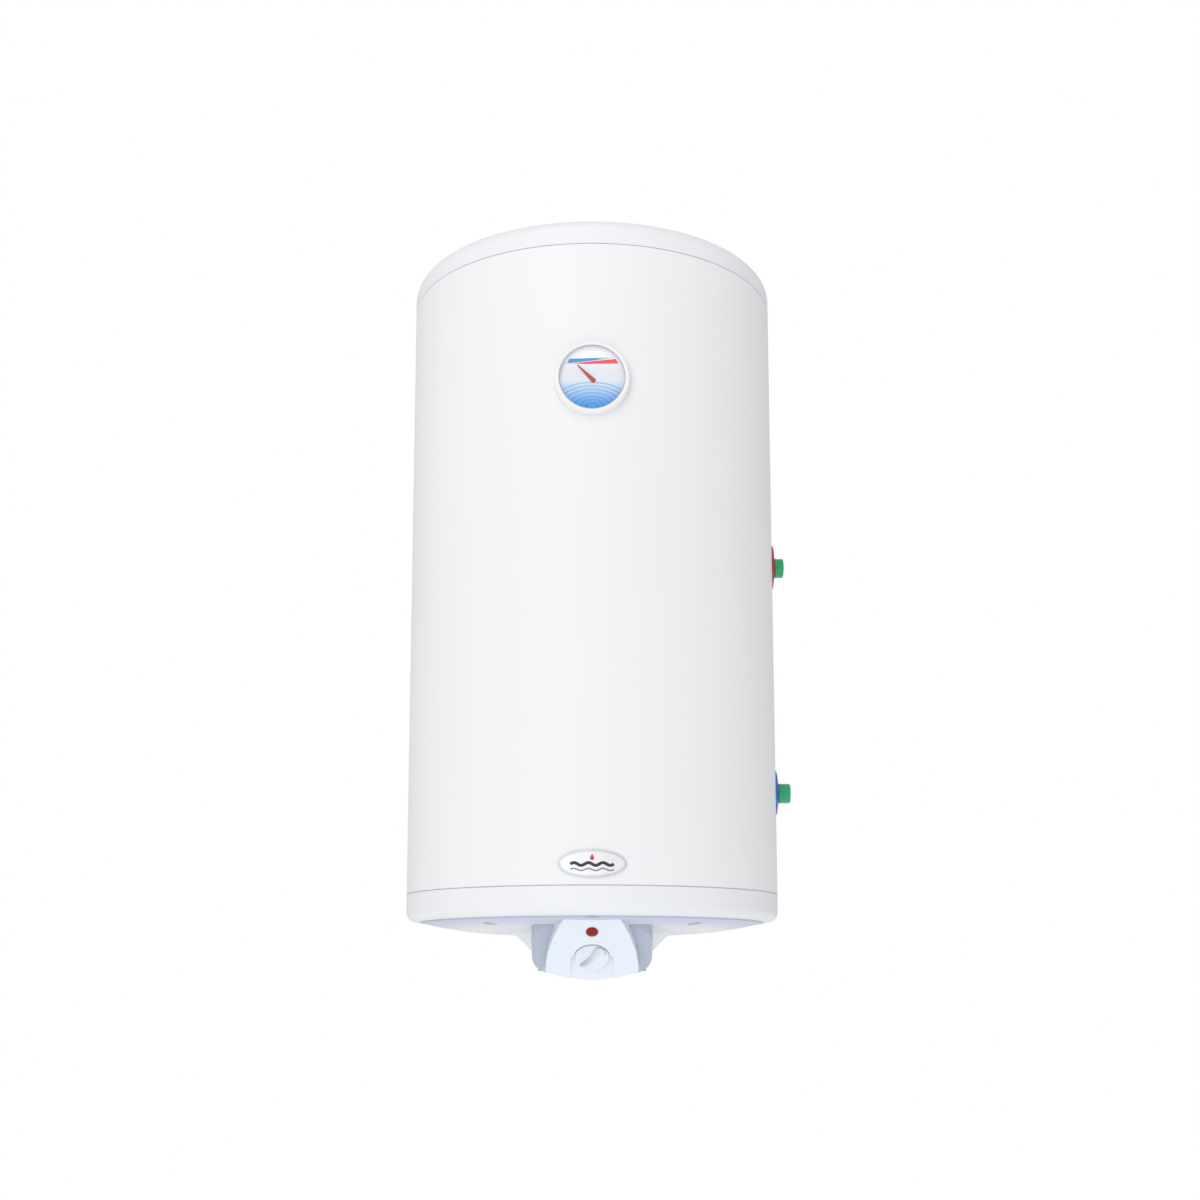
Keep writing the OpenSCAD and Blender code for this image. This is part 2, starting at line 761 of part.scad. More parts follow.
module lower_spacers() {
    color(black) on_axis() difference() {
        for (side = [-1, 1])
            to_wall(side * spacer_x, spacer_z)
                translate([0, 0, casing_r - 10]) cylinder(r = 15, h = wall_gap + 10);
        translate([0, 0, spacer_z - 50]) cylinder(r = casing_r + slip, h = 100);
    }
}

// ---- thermometer --------------------------------------------------------------------------

module gauge_bezel() {
    color(enamel) on_axis() difference() {
        on_front(gauge_z) rotate_extrude() {
            polygon([[glass_r - 1.5, 6.3], [glass_r - 1.5, 7.1], [bezel_r - 2, 7.1], [bezel_r, 5],
                     [bezel_r, -6], [glass_r + slip, -6], [glass_r + slip, 6.3]]);
        }
        translate([0, 0, gauge_z - 60]) cylinder(r = casing_r + slip, h = 120);
    }
}

module gauge_glass() {
    color(clear) on_axis() on_front(gauge_z) translate([0, 0, glass_z])
        cylinder(r = glass_r, h = 1.4);
}

module gauge_dial() {
    color([0.9, 0.95, 0.98]) on_axis() on_front(gauge_z) translate([0, 0, dial_z]) difference() {
        cylinder(r = glass_r - slip, h = 0.8);
        translate([0, -pivot_drop, -e]) cylinder(r = 1.2 + slip, h = 3);
    }
}

module gauge_pointer() {
    tail = 4.7;
    color(red) on_axis() on_front(gauge_z) translate([0, -pivot_drop, 0])
        rotate([0, 0, pointer_angle]) {
            translate([0, 0, dial_z + 1.3]) linear_extrude(height = 0.6)
                polygon([[-0.5, pointer_length], [0.5, pointer_length], [2.6, 1.2 - tail],
                         [1.4, -tail], [-1.4, -tail], [-2.6, 1.2 - tail]]);
            translate([0, 0, dial_z + 1.3]) cylinder(r = 2, h = 1.1);
            translate([0, 0, -4]) cylinder(r = 1.2, h = dial_z + 6);
        }
}

module gauge_case() {
    color(black) on_axis() on_front(gauge_z) difference() {
        translate([0, 0, -23]) cylinder(r = gauge_case_r, h = 23 + dial_z - 0.05);
        translate([0, 0, -18]) cylinder(r = gauge_case_r - 2, h = 30);
        translate([0, -gauge_case_r + 3, -21]) rotate([90, 0, 0]) cylinder(r = 1.2, h = 10);
    }
    // The movement inside the case, bored for the pointer's spindle.
    color(brass) on_axis() on_front(gauge_z) translate([0, -pivot_drop, -18.01]) difference() {
        cylinder(r = 9, h = 15);
        translate([0, 0, 12]) cylinder(r = 1.2 + run_fit, h = 10);
    }
}

module gauge_capillary() {
    bulb_y = -tank_r - 4;
    color(copper) on_axis() {
        wire([[0, -casing_r + 21, gauge_z - gauge_case_r + 1], [0, -casing_r + 21, gauge_z - 50],
              [0, bulb_y, gauge_z - 62], [0, bulb_y, gauge_z - 75]], 0.9);
        translate([0, bulb_y, gauge_z - 140]) cylinder(r = 3.2, h = 70);
    }
}

// A shallow plate of the outline of its children, laid on the casing's front at height z.
module front_skin(z, inner_gap, thickness) {
    intersection() {
        on_front(z) translate([0, 0, -30]) linear_extrude(height = 60) children();
        translate([0, 0, z - 100])
            tube(casing_r + inner_gap + thickness, casing_r + inner_gap, 200);
    }
}

module oval(w, h) {
    polygon([for (turn = [0 : 7.5 : 359]) [w / 2 * cos(turn), h / 2 * sin(turn)]]);
}

module badge() color(zinc) on_axis() front_skin(badge_z, 0.1, 1.6) oval(badge_w, badge_h);

module rating_label() {
    color([0.85, 0.86, 0.87]) on_axis() rotate([0, 0, -110])
        front_skin(90, 0.1, 0.3) square([80, 50], center = true);
}

// ---- control nose -------------------------------------------------------------------------

// The housing seen from below, drawn in by inset.
module housing_plan(inset) {
    front_r = 16;
    back_r = 12;
    front_y = -165 + front_r;
    hull() for (side = [-1, 1]) {
        translate([side * (nose_half_w - front_r), front_y]) circle(r = front_r - inset, $fn = 32);
        translate([side * (nose_half_w - back_r), -22]) circle(r = back_r - inset, $fn = 32);
    }
}

// The housing seen from the front, drawn in by inset.
module housing_front(inset) {
    corner_r = 18;
    belly_r = 157;
    hull() {
        for (side = [-1, 1])
            translate([side * (nose_half_w - corner_r), -76]) circle(r = corner_r - inset, $fn = 48);
        translate([-nose_half_w + inset, -60]) square([2 * (nose_half_w - inset), 35]);
        intersection() {
            translate([0, belly_r - housing_bottom]) circle(r = belly_r - inset, $fn = 128);
            translate([-50, -housing_bottom]) square([100, 20]);
        }
    }
}

// The housing seen from the side: x is depth in from the front, drawn in by inset.
module housing_side(inset) {
    back = fascia_stand / cos(ramp_angle);
    t = inset / cos(ramp_angle);
    ramp_y = -ramp_front + back + t;
    polygon([
        [-200, -25], [-200, -30], [ramp_y + 30 - ramp_top_depth, -30],
        [ramp_y + 110 - ramp_top_depth, -110], [-90, -110 + inset], [-5, -94 + inset], [-5, -25]]);
}

module housing_solid(inset) {
    intersection() {
        translate([0, 0, -120]) linear_extrude(height = 95) housing_plan(inset);
        rotate([90, 0, 0]) linear_extrude(height = 300) housing_front(inset);
        translate([-100, 0, 0]) rotate([90, 0, 90]) linear_extrude(height = 200)
            housing_side(inset);
    }
}

module control_housing() {
    color(housing_grey) on_axis() difference() {
        union() {
            difference() {
                housing_solid(0);
                housing_solid(nose_t);
            }
            intersection() {
                housing_solid(0);
                at_housing_screws() cylinder(r = 6.5, h = 300, center = true);
            }
        }
        translate([0, 0, -seam_gap / 2 - hub_clear]) bottom_solid(0);
        // Where the thermostat passes through the sloping face.
        on_ramp(knob_down) cube([48, 52, 60], center = true);
        at_housing_screws() {
            cylinder(r = 2 + slip, h = 300, center = true);
            translate([0, 0, housing_screw_z - 20]) cylinder(r = 4.4, h = 20);
        }
    }
}

// Half of the fascia's width at a distance down its slope, drawn in by inset.
function fascia_half_w(down, inset) =
    let (top_half = 31, foot_half = 53.3, widest = 84)
    foot_half - inset - (foot_half - top_half) * pow(max(0, 1 - down / widest), 1.9);

// The fascia's outline on its slope, with y = 0 at its top edge, drawn in by inset.
module fascia_outline(inset) {
    sweep_r = 115;
    steps = 14;
    intersection() {
        polygon([for (side = [-1, 1], i = [0 : steps])
            let (down = inset + ramp_length * (side < 0 ? i : steps - i) / steps)
            [side * fascia_half_w(down, inset), -down]]);
        translate([0, sweep_r - ramp_length]) circle(r = sweep_r - inset, $fn = 128);
    }
}

// The window round the knob: an arch over two straight sides that run off the lower edge.
module window_outline(grow) {
    translate([0, -knob_down]) circle(r = window_r + grow);
    translate([-window_half_w - grow, -ramp_length - 10])
        square([2 * (window_half_w + grow), ramp_length + 10 - knob_down + 2]);
}

// Everything in front of the knob's seat plane, moved back by back.
module before_seat(back) {
    on_ramp(ramp_length) rotate([-knob_tilt, 0, 0]) translate([-60, -20, -back])
        cube([120, 130, 60]);
}

module control_fascia() {
    wall_depth = 24;
    color(fascia_white) on_axis() difference() {
        union() {
            on_ramp(0) translate([0, 0, -wall_depth]) difference() {
                linear_extrude(height = wall_depth) fascia_outline(0);
                translate([0, 0, -e]) linear_extrude(height = wall_depth - nose_t + e)
                    fascia_outline(nose_t);
            }
            // Tray that carries the knob's seat.
            intersection() {
                on_ramp(0) translate([0, 0, -12.5]) linear_extrude(height = 12.5)
                    intersection() {
                        window_outline(nose_t);
                        fascia_outline(0);
                    }
                before_seat(nose_t);
            }
        }
        intersection() {
            on_ramp(0) translate([0, 0, -20]) linear_extrude(height = 40) window_outline(0);
            before_seat(0);
        }
        on_knob_seat() cylinder(r = 4.5, h = 20, center = true);
        on_ramp(lamp_down) cylinder(r = 5, h = 40, center = true);
        housing_clearance();
    }
}

// What the fascia's back edges stop short of.
module housing_clearance() {
    translate([0, 0, -seam_gap / 2 - hub_clear]) bottom_solid(0);
    translate([0, -0.15, -0.1]) housing_solid(0);
}

module at_housing_screws() {
    for (side = [-1, 1]) translate([side * 50, -24, 0]) children();
}

module housing_screws() {
    color(zinc) on_axis() at_housing_screws() {
        translate([0, 0, housing_screw_z - 2.45]) cylinder(r = 4, h = 2.4);
        translate([0, 0, housing_screw_z - 1]) cylinder(r = 2, h = 30);
    }
}

module pilot_lens() {
    cap_h = 2.6;
    dome_r = (lamp_r * lamp_r + cap_h * cap_h) / (2 * cap_h);
    color(red) on_axis() on_ramp(lamp_down) translate([0, 0, 0.05]) {
        cylinder(r = lamp_r, h = 0.9);
        intersection() {
            translate([0, 0, 0.8 + cap_h - dome_r]) sphere(r = dome_r);
            translate([0, 0, 0.8]) cylinder(r = lamp_r, h = cap_h + 1);
        }
    }
}

module pilot_lamp() {
    color([0.9, 0.9, 0.85]) on_axis() on_ramp(lamp_down) translate([0, 0, -19])
        cylinder(r = 4.8, h = 19);
}

module control_knob() {
    base = 0.5;
    disc_t = 4.4;
    ridge_h = 4;
    ridge_w = 6;
    hook_r = 7;
    color(fascia_white) on_axis() on_knob_seat() difference() {
        union() {
            translate([0, 0, base]) cylinder(r = knob_r - 0.8, h = disc_t);
            translate([0, 0, base]) cylinder(r = knob_r, h = disc_t - 1);
            cylinder(r = 7, h = base + 1);
            // Grip: a bar across the disc that hooks round at its upper end.
            translate([0, 0, base + disc_t - 0.1]) rotate([0, 0, 45]) {
                translate([-15, -ridge_w / 2, 0]) cube([25, ridge_w, ridge_h]);
                translate([10, ridge_w / 2 - hook_r - 1, 0]) rotate([0, 0, -60])
                    rotate_extrude(angle = 150) translate([hook_r - 4, 0]) square([4.5, ridge_h]);
            }
        }
        translate([0, 0, -e]) cylinder(r = 3 + slip, h = 4 + e);
    }
}

module knob_shaft() {
    color(brass) on_axis() on_knob_seat() translate([0, 0, -22]) cylinder(r = 3, h = 25.9);
}

module thermostat() {
    color(black) on_axis() on_knob_seat() difference() {
        union() {
            translate([-20, -18, -36]) cube([40, 36, 22]);
            translate([0, 0, -14.1]) cylinder(r = 8, h = 5);
        }
        translate([0, 0, -23]) cylinder(r = 3 + run_fit, h = 40);
    }
}

module thermostat_bulb() {
    color(copper) on_axis() at_flange() translate([0, well_y, 0]) {
        translate([0, 0, well_top - 110]) cylinder(r = 3.2, h = 90);
        wire([[0, 0, well_top - 109], [0, 0, plate_bottom - 9],
              [0, -46, plate_bottom - 20]], 0.9);
    }
}

module thermal_cutout() {
    color(black) on_axis() difference() {
        translate([30, -100, -76]) cube([26, 30, 24]);
        translate([43, -85, -77]) cylinder(r = 3.2 + run_fit, h = 8);
    }
}

module reset_button() {
    color(red) on_axis() translate([43, -85, -79.5]) cylinder(r = 3.2, h = 7);
}

module terminal_block() {
    color(cover_white) on_axis() difference() {
        translate([-56, -100, -72]) cube([24, 40, 16]);
        for (i = [0 : 2])
            translate([-44, -92 + i * 12, -73]) cylinder(r = 2.6, h = 6);
    }
}

module internal_wiring() {
    leg_y = -flange_offset + element_y;
    tab_z = plate_bottom - 24;
    color([0.5, 0.3, 0.15]) on_axis() {
        wire([[-element_x, leg_y, tab_z], [-element_x, leg_y, tab_z - 12],
              [-32 + 1.5, -80, -64]]);
        wire([[element_x, leg_y, tab_z], [element_x, leg_y, tab_z - 8], [30 - 1.5, -80, -62]]);
        wire([[-44, -60 + 1.5, -64], [-30, -30, -50], [0, gland_y, -45], [0, gland_y, -50]]);
    }
}

module cable_gland() {
    hub_face = -hub_depth - seam_gap / 2;
    color(black) on_axis() translate([0, gland_y, 0]) difference() {
        union() {
            translate([0, 0, hub_face - 4.1]) cylinder(r = 11, h = 4, $fn = 6);
            translate([0, 0, hub_face - 18]) cylinder(r = 9, h = 14);
            translate([0, 0, hub_face - 1]) cylinder(r = 8, h = 10);
            translate([0, 0, hub_face + cover_t + 0.1]) cylinder(r = 11, h = 4, $fn = 6);
        }
        translate([0, 0, hub_face]) cylinder(r = 5, h = 60, center = true);
    }
}

// ---- drawing ------------------------------------------------------------------------------

outer_casing();
top_cover();
bottom_cover();
cover_screws();
cover_anchors();
insulation_foam();
tank_shell();
tank_top_head();
tank_bottom_head();
tank_neck();
flange_gasket();
flange_plate();
flange_fasteners();
heating_element();
element_terminals();
thermometer_well();
anode_rod();
anode_nut();
earth_screw();
cold_inlet_pipe();
inlet_diffuser();
hot_outlet_pipe();
hot_standpipe();
cold_rosette();
hot_rosette();
cold_pipe_cap();
hot_pipe_cap();
heating_coil();
upper_coil_stub();
lower_coil_stub();
upper_port_rosette();
lower_port_rosette();
upper_port_cap();
lower_port_cap();
wall_bracket();
bracket_bosses();
bracket_bolts();
lower_spacers();
gauge_bezel();
gauge_glass();
gauge_dial();
gauge_pointer();
gauge_case();
gauge_capillary();
badge();
rating_label();
control_housing();
control_fascia();
housing_screws();
pilot_lens();
pilot_lamp();
control_knob();
knob_shaft();
thermostat();
thermostat_bulb();
thermal_cutout();
reset_button();
terminal_block();
internal_wiring();
cable_gland();
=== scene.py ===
"""How the wall-hung water heater looks: materials, finely shaped pieces, light and camera.

Lengths are in metres. Small parts are drawn in millimetres and scaled by MM where they are built.
"""
import json
import math

import bmesh
import bpy
from mathutils import Matrix, Vector


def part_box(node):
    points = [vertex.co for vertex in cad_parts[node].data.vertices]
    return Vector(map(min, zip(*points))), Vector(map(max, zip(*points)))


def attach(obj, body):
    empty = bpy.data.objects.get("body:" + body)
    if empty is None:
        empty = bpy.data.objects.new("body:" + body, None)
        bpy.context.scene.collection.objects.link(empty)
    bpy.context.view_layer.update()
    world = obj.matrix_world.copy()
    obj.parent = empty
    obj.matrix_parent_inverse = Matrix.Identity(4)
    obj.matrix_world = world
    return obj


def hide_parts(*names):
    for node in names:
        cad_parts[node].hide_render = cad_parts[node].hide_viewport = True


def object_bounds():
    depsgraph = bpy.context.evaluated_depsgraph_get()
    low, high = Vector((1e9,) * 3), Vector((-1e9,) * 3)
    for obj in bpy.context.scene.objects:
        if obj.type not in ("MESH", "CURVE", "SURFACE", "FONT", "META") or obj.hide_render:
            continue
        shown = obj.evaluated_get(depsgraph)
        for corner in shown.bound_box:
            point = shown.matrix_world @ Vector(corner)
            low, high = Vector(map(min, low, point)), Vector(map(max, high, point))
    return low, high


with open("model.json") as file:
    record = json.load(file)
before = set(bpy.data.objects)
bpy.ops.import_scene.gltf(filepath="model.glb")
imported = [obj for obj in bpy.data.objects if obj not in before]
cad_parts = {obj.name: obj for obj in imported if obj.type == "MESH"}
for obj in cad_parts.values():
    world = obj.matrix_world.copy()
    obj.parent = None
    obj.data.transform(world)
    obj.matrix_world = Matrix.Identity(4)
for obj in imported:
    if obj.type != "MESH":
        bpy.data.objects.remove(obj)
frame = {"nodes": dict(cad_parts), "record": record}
CAD_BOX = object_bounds()
MM = 0.001

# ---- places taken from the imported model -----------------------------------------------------

CASING_LOW, CASING_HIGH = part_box("outer_casing")
CASING_R = (CASING_HIGH.x - CASING_LOW.x) / 2
AXIS = Vector(((CASING_LOW.x + CASING_HIGH.x) / 2, (CASING_LOW.y + CASING_HIGH.y) / 2, 0))
SEAM_HALF = 0.6 * MM
LOWER_SEAM = CASING_LOW.z - SEAM_HALF
UPPER_SEAM = CASING_HIGH.z + SEAM_HALF
JOINTS = {joint["name"]: joint for joint in frame["record"]["behaviour"]["joints"]}


def middle(node):
    """The centre of a CAD node's box."""
    low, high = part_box(node)
    return (low + high) / 2


def facing(direction, at):
    """A placement whose Z points along direction and whose X stays level."""
    z = Vector(direction).normalized()
    x = Vector((0, 0, 1)).cross(z)
    x = x.normalized() if x.length > 1e-6 else Vector((1, 0, 0))
    turn = Matrix((x, z.cross(x), z)).transposed().to_4x4()
    return Matrix.Translation(at) @ turn


# ---- camera ---------------------------------------------------------------------------------

def make_camera():
    """The photographed view: straight ahead of the gauge, from below the lower seam."""
    data = bpy.data.cameras.new("camera")
    data.sensor_width = 36
    data.lens = 48.35
    data.shift_x = 0.0066
    data.shift_y = 0.12
    camera = bpy.data.objects.new("camera", data)
    camera.location = (AXIS.x, AXIS.y - 2.000, LOWER_SEAM - 0.110)
    camera.rotation_euler = (math.radians(90 + 8.55), 0, 0)
    bpy.context.scene.collection.objects.link(camera)
    bpy.context.scene.camera = camera


# ---- material nodes -------------------------------------------------------------------------

class Nodes:
    """A material's node tree, with short calls for the nodes that the materials share."""

    def __init__(self, name):
        self.material = bpy.data.materials.new(name)
        self.material.use_nodes = True
        self.tree = self.material.node_tree
        self.shader = self.tree.nodes["Principled BSDF"]
        self.place = self.add("ShaderNodeTexCoord").outputs["Object"]

    def add(self, kind, **settings):
        node = self.tree.nodes.new(kind)
        for key, value in settings.items():
            setattr(node, key, value)
        return node

    def link(self, source, target):
        self.tree.links.new(source, target)

    def feed(self, socket, value):
        """Sets an input to a constant, or joins it to another node's output."""
        if isinstance(value, bpy.types.NodeSocket):
            self.link(value, socket)
        else:
            socket.default_value = value

    def math(self, operation, a, b=0.0):
        node = self.add("ShaderNodeMath", operation=operation)
        for socket, value in zip(node.inputs, (a, b)):
            self.feed(socket, value)
        return node.outputs[0]

    def noise(self, size, detail=3.0, rough=0.5, stretch=None):
        """Noise whose features are about size metres across, longer along stretch."""
        node = self.add("ShaderNodeTexNoise")
        node.inputs["Scale"].default_value = 1 / size
        node.inputs["Detail"].default_value = detail
        node.inputs["Roughness"].default_value = rough
        where = self.place
        if stretch:
            mapping = self.add("ShaderNodeMapping")
            mapping.inputs["Scale"].default_value = stretch
            self.link(where, mapping.inputs["Vector"])
            where = mapping.outputs["Vector"]
        self.link(where, node.inputs["Vector"])
        return node.outputs["Fac"]

    def spread(self, value, low, high, start=0.3, end=0.7):
        """Maps value from start..end to low..high."""
        node = self.add("ShaderNodeMapRange", interpolation_type="SMOOTHSTEP")
        self.feed(node.inputs["Value"], value)
        node.inputs["From Min"].default_value = start
        node.inputs["From Max"].default_value = end
        node.inputs["To Min"].default_value = low
        node.inputs["To Max"].default_value = high
        return node.outputs["Result"]

    def mix(self, amount, first, second):
        node = self.add("ShaderNodeMix", data_type="RGBA")
        self.feed(node.inputs["Factor"], amount)
        for socket, value in ((node.inputs[6], first), (node.inputs[7], second)):
            self.feed(socket, value if isinstance(value, bpy.types.NodeSocket) else (*value[:3], 1))
        return node.outputs[2]

    def bump(self, height, strength, distance, after=None):
        node = self.add("ShaderNodeBump")
        node.inputs["Strength"].default_value = strength
        node.inputs["Distance"].default_value = distance
        self.feed(node.inputs["Height"], height)
        if after is not None:
            self.link(after, node.inputs["Normal"])
        return node.outputs["Normal"]


def shade(color, amount):
    """A colour made lighter or darker."""
    return tuple(min(1.0, channel * amount) for channel in color)


def surface(name, color, roughness, *, swing=0.02, patch=0.12, rough_swing=0.05, grain=0.0009,
            grain_depth=0.00002, metallic=0.0, coat=0.0, coat_roughness=0.05, specular=0.5,
            brushed=None):
    """A moulded, painted or brushed surface: slow colour drift, uneven gloss and a fine grain."""
    nodes = Nodes(name)
    shader = nodes.shader
    drift = nodes.noise(patch, 2.0)
    nodes.feed(shader.inputs["Base Color"],
               nodes.mix(nodes.spread(drift, 0, 1), shade(color, 1 - swing), shade(color, 1 + swing)))
    wear = nodes.noise(patch / 5, 4.0, 0.6, brushed)
    nodes.feed(shader.inputs["Roughness"],
               nodes.spread(wear, max(0.02, roughness - rough_swing), roughness + rough_swing))
    fine = nodes.bump(nodes.noise(grain, 2.0, 0.5, brushed), 0.35, grain_depth)
    slow = nodes.bump(nodes.noise(grain * 14, 2.0), 0.12, grain_depth * 6, fine)
    nodes.link(slow, shader.inputs["Normal"])
    shader.inputs["Metallic"].default_value = metallic
    shader.inputs["Coat Weight"].default_value = coat
    shader.inputs["Coat Roughness"].default_value = coat_roughness
    shader.inputs["Specular IOR Level"].default_value = specular
    return nodes.material


def window_material():
    """The gauge's thin clear window, with faint dust."""
    nodes = Nodes("clear_window")
    shader = nodes.shader
    dust = nodes.noise(0.004, 4.0, 0.7)
    nodes.feed(shader.inputs["Base Color"],
               nodes.mix(dust, (0.95, 0.97, 0.98), (1, 1, 1)))
    nodes.feed(shader.inputs["Roughness"], nodes.spread(dust, 0.02, 0.07))
    shader.inputs["Alpha"].default_value = 0.03
    shader.inputs["Specular IOR Level"].default_value = 0.25
    nodes.material.surface_render_method = "BLENDED"
    return nodes.material


def lens_material():
    """The pilot lamp's red lens: clear red plastic with moulded facets inside."""
    nodes = Nodes("lens_red")
    shader = nodes.shader
    cells = nodes.add("ShaderNodeTexVoronoi")
    cells.inputs["Scale"].default_value = 1 / 0.0021
    nodes.link(nodes.place, cells.inputs["Vector"])
    nodes.feed(shader.inputs["Base Color"],
               nodes.mix(cells.outputs["Distance"], (0.07, 0.0005, 0.001), (0.50, 0.001, 0.003)))
    nodes.feed(shader.inputs["Roughness"], nodes.spread(nodes.noise(0.002), 0.10, 0.18))
    nodes.link(nodes.bump(cells.outputs["Distance"], 0.25, 0.0003), shader.inputs["Normal"])
    shader.inputs["Specular IOR Level"].default_value = 0.2
    shader.inputs["Coat Weight"].default_value = 0.25
    shader.inputs["Coat Roughness"].default_value = 0.05
    shader.inputs["Subsurface Weight"].default_value = 0.15
    shader.inputs["Subsurface Scale"].default_value = 0.002
    return nodes.material


def dial_material():
    """The dial's print: pale above, whitening towards the top with a painted glare, and below it blue
    water with rings spreading from the foot.
    """
    nodes = Nodes("dial_print")
    shader = nodes.shader
    centre = middle("gauge_dial")
    axes = nodes.add("ShaderNodeSeparateXYZ")
    nodes.link(nodes.place, axes.inputs[0])
    x = nodes.math("SUBTRACT", axes.outputs["X"], centre.x)
    z = nodes.math("SUBTRACT", axes.outputs["Z"], centre.z)
    # Rings are ellipses 1.65 times wider than high, about a point near the dial's foot.
    foot = nodes.math("ADD", z, 0.034)
    wide = nodes.math("DIVIDE", x, 1.65)
    reach = nodes.math("SQRT", nodes.math("ADD", nodes.math("MULTIPLY", wide, wide),
                                          nodes.math("MULTIPLY", foot, foot)))
    turns = nodes.math("MULTIPLY", nodes.math("SUBTRACT", reach, 0.0276), 2 * math.pi / 0.0041)
    ring = nodes.spread(nodes.math("SINE", turns), 0.0, 1.0, -0.1, 0.9)
    inside = nodes.spread(reach, 1.0, 0.0, 0.0292, 0.0302)
    depth = nodes.spread(z, 1.0, 0.0, -0.035, -0.003)
    # Pale print above the water, partly painted highlight: it whitens towards the dial's top, where
    # glare lies under the window.
    pale_print_and_glare = nodes.mix(nodes.spread(z, 0, 1, 0.006, 0.030), (0.79, 0.80, 0.855), (0.97, 0.98, 0.99))
    water = nodes.mix(depth, (0.60, 0.75, 0.92), (0.0, 0.34, 0.83))
    crest = nodes.mix(depth, (0.33, 0.46, 0.68), (0.0, 0.19, 0.66))
    pool = nodes.mix(nodes.spread(z, 1.0, 0.0, -0.011, 0.001), pale_print_and_glare, water)
    lined = nodes.mix(nodes.math("MULTIPLY", nodes.math("MULTIPLY", ring, inside), 0.8), pool, crest)
    nodes.feed(shader.inputs["Base Color"], lined)
    nodes.feed(shader.inputs["Roughness"], nodes.spread(nodes.noise(0.003), 0.35, 0.5))
    nodes.link(nodes.bump(nodes.noise(0.0004), 0.2, 0.00002), shader.inputs["Normal"])
    return nodes.material


def fading_ink_and_shade(name, solid, faint, from_x, to_x):
    """A colour that fades from solid at one end of its bar to faint at the other: printed ink on the
    dial's wedges, painted shade on the knob's grip.
    """
    nodes = Nodes(name)
    axes = nodes.add("ShaderNodeSeparateXYZ")
    nodes.link(nodes.place, axes.inputs[0])
    along = nodes.spread(axes.outputs["X"], 0.0, 1.0, min(from_x, to_x), max(from_x, to_x))
    pair = (solid, faint) if to_x > from_x else (faint, solid)
    grain = nodes.noise(0.0006, 3.0)
    ink = nodes.mix(along, *pair)
    nodes.feed(nodes.shader.inputs["Base Color"],
               nodes.mix(nodes.spread(grain, 0, 0.06), ink, (1, 1, 1)))
    nodes.feed(nodes.shader.inputs["Roughness"], nodes.spread(grain, 0.3, 0.45))
    return nodes.material


def cover_material():
    """The covers' satin plastic: white, with a painted bluish shade on the dome behind the lower rim.
    """
    nodes = Nodes("cover_plastic")
    shader = nodes.shader
    axes = nodes.add("ShaderNodeSeparateXYZ")
    nodes.link(nodes.place, axes.inputs[0])
    x = nodes.math("SUBTRACT", axes.outputs["X"], AXIS.x)
    y = nodes.math("SUBTRACT", axes.outputs["Y"], AXIS.y)
    reach = nodes.math("SQRT", nodes.math("ADD", nodes.math("MULTIPLY", x, x),
                                          nodes.math("MULTIPLY", y, y)))
    # Painted shade: a bluish, darker ring on the lower cover's dome, just inside its rim.
    below = nodes.spread(axes.outputs["Z"], 1.0, 0.0, LOWER_SEAM - 0.033, LOWER_SEAM - 0.030)
    rim_shade_ring = nodes.math("MULTIPLY", nodes.spread(reach, 0.0, 1.0, 0.150, 0.205),
                      nodes.spread(reach, 1.0, 0.0, 0.206, 0.215))
    painted_rim_shade = nodes.math("MULTIPLY", nodes.math("MULTIPLY", rim_shade_ring, below), 0.9)
    drift = nodes.spread(nodes.noise(0.25, 2.0), 0, 1)
    white = nodes.mix(drift, (0.850, 0.852, 0.862), (0.862, 0.866, 0.880))
    nodes.feed(shader.inputs["Base Color"], nodes.mix(painted_rim_shade, white, (0.56, 0.61, 0.73)))
    nodes.feed(shader.inputs["Roughness"], nodes.spread(nodes.noise(0.05, 4.0), 0.40, 0.50))
    fine = nodes.bump(nodes.noise(0.0007, 2.0), 0.35, 0.00003)
    nodes.link(nodes.bump(nodes.noise(0.01), 0.10, 0.0002, fine), shader.inputs["Normal"])
    shader.inputs["Specular IOR Level"].default_value = 0.4
    return nodes.material


def foam_material():
    """Cut polyurethane foam with open cells."""
    nodes = Nodes("insulation")
    cells = nodes.add("ShaderNodeTexVoronoi")
    cells.inputs["Scale"].default_value = 1 / 0.0018
    nodes.link(nodes.place, cells.inputs["Vector"])
    nodes.feed(nodes.shader.inputs["Base Color"],
               nodes.mix(cells.outputs["Distance"], (0.55, 0.42, 0.20), (0.88, 0.78, 0.50)))
    nodes.feed(nodes.shader.inputs["Roughness"], nodes.spread(nodes.noise(0.01), 0.8, 0.95))
    nodes.link(nodes.bump(cells.outputs["Distance"], 0.6, 0.0006), nodes.shader.inputs["Normal"])
    return nodes.material


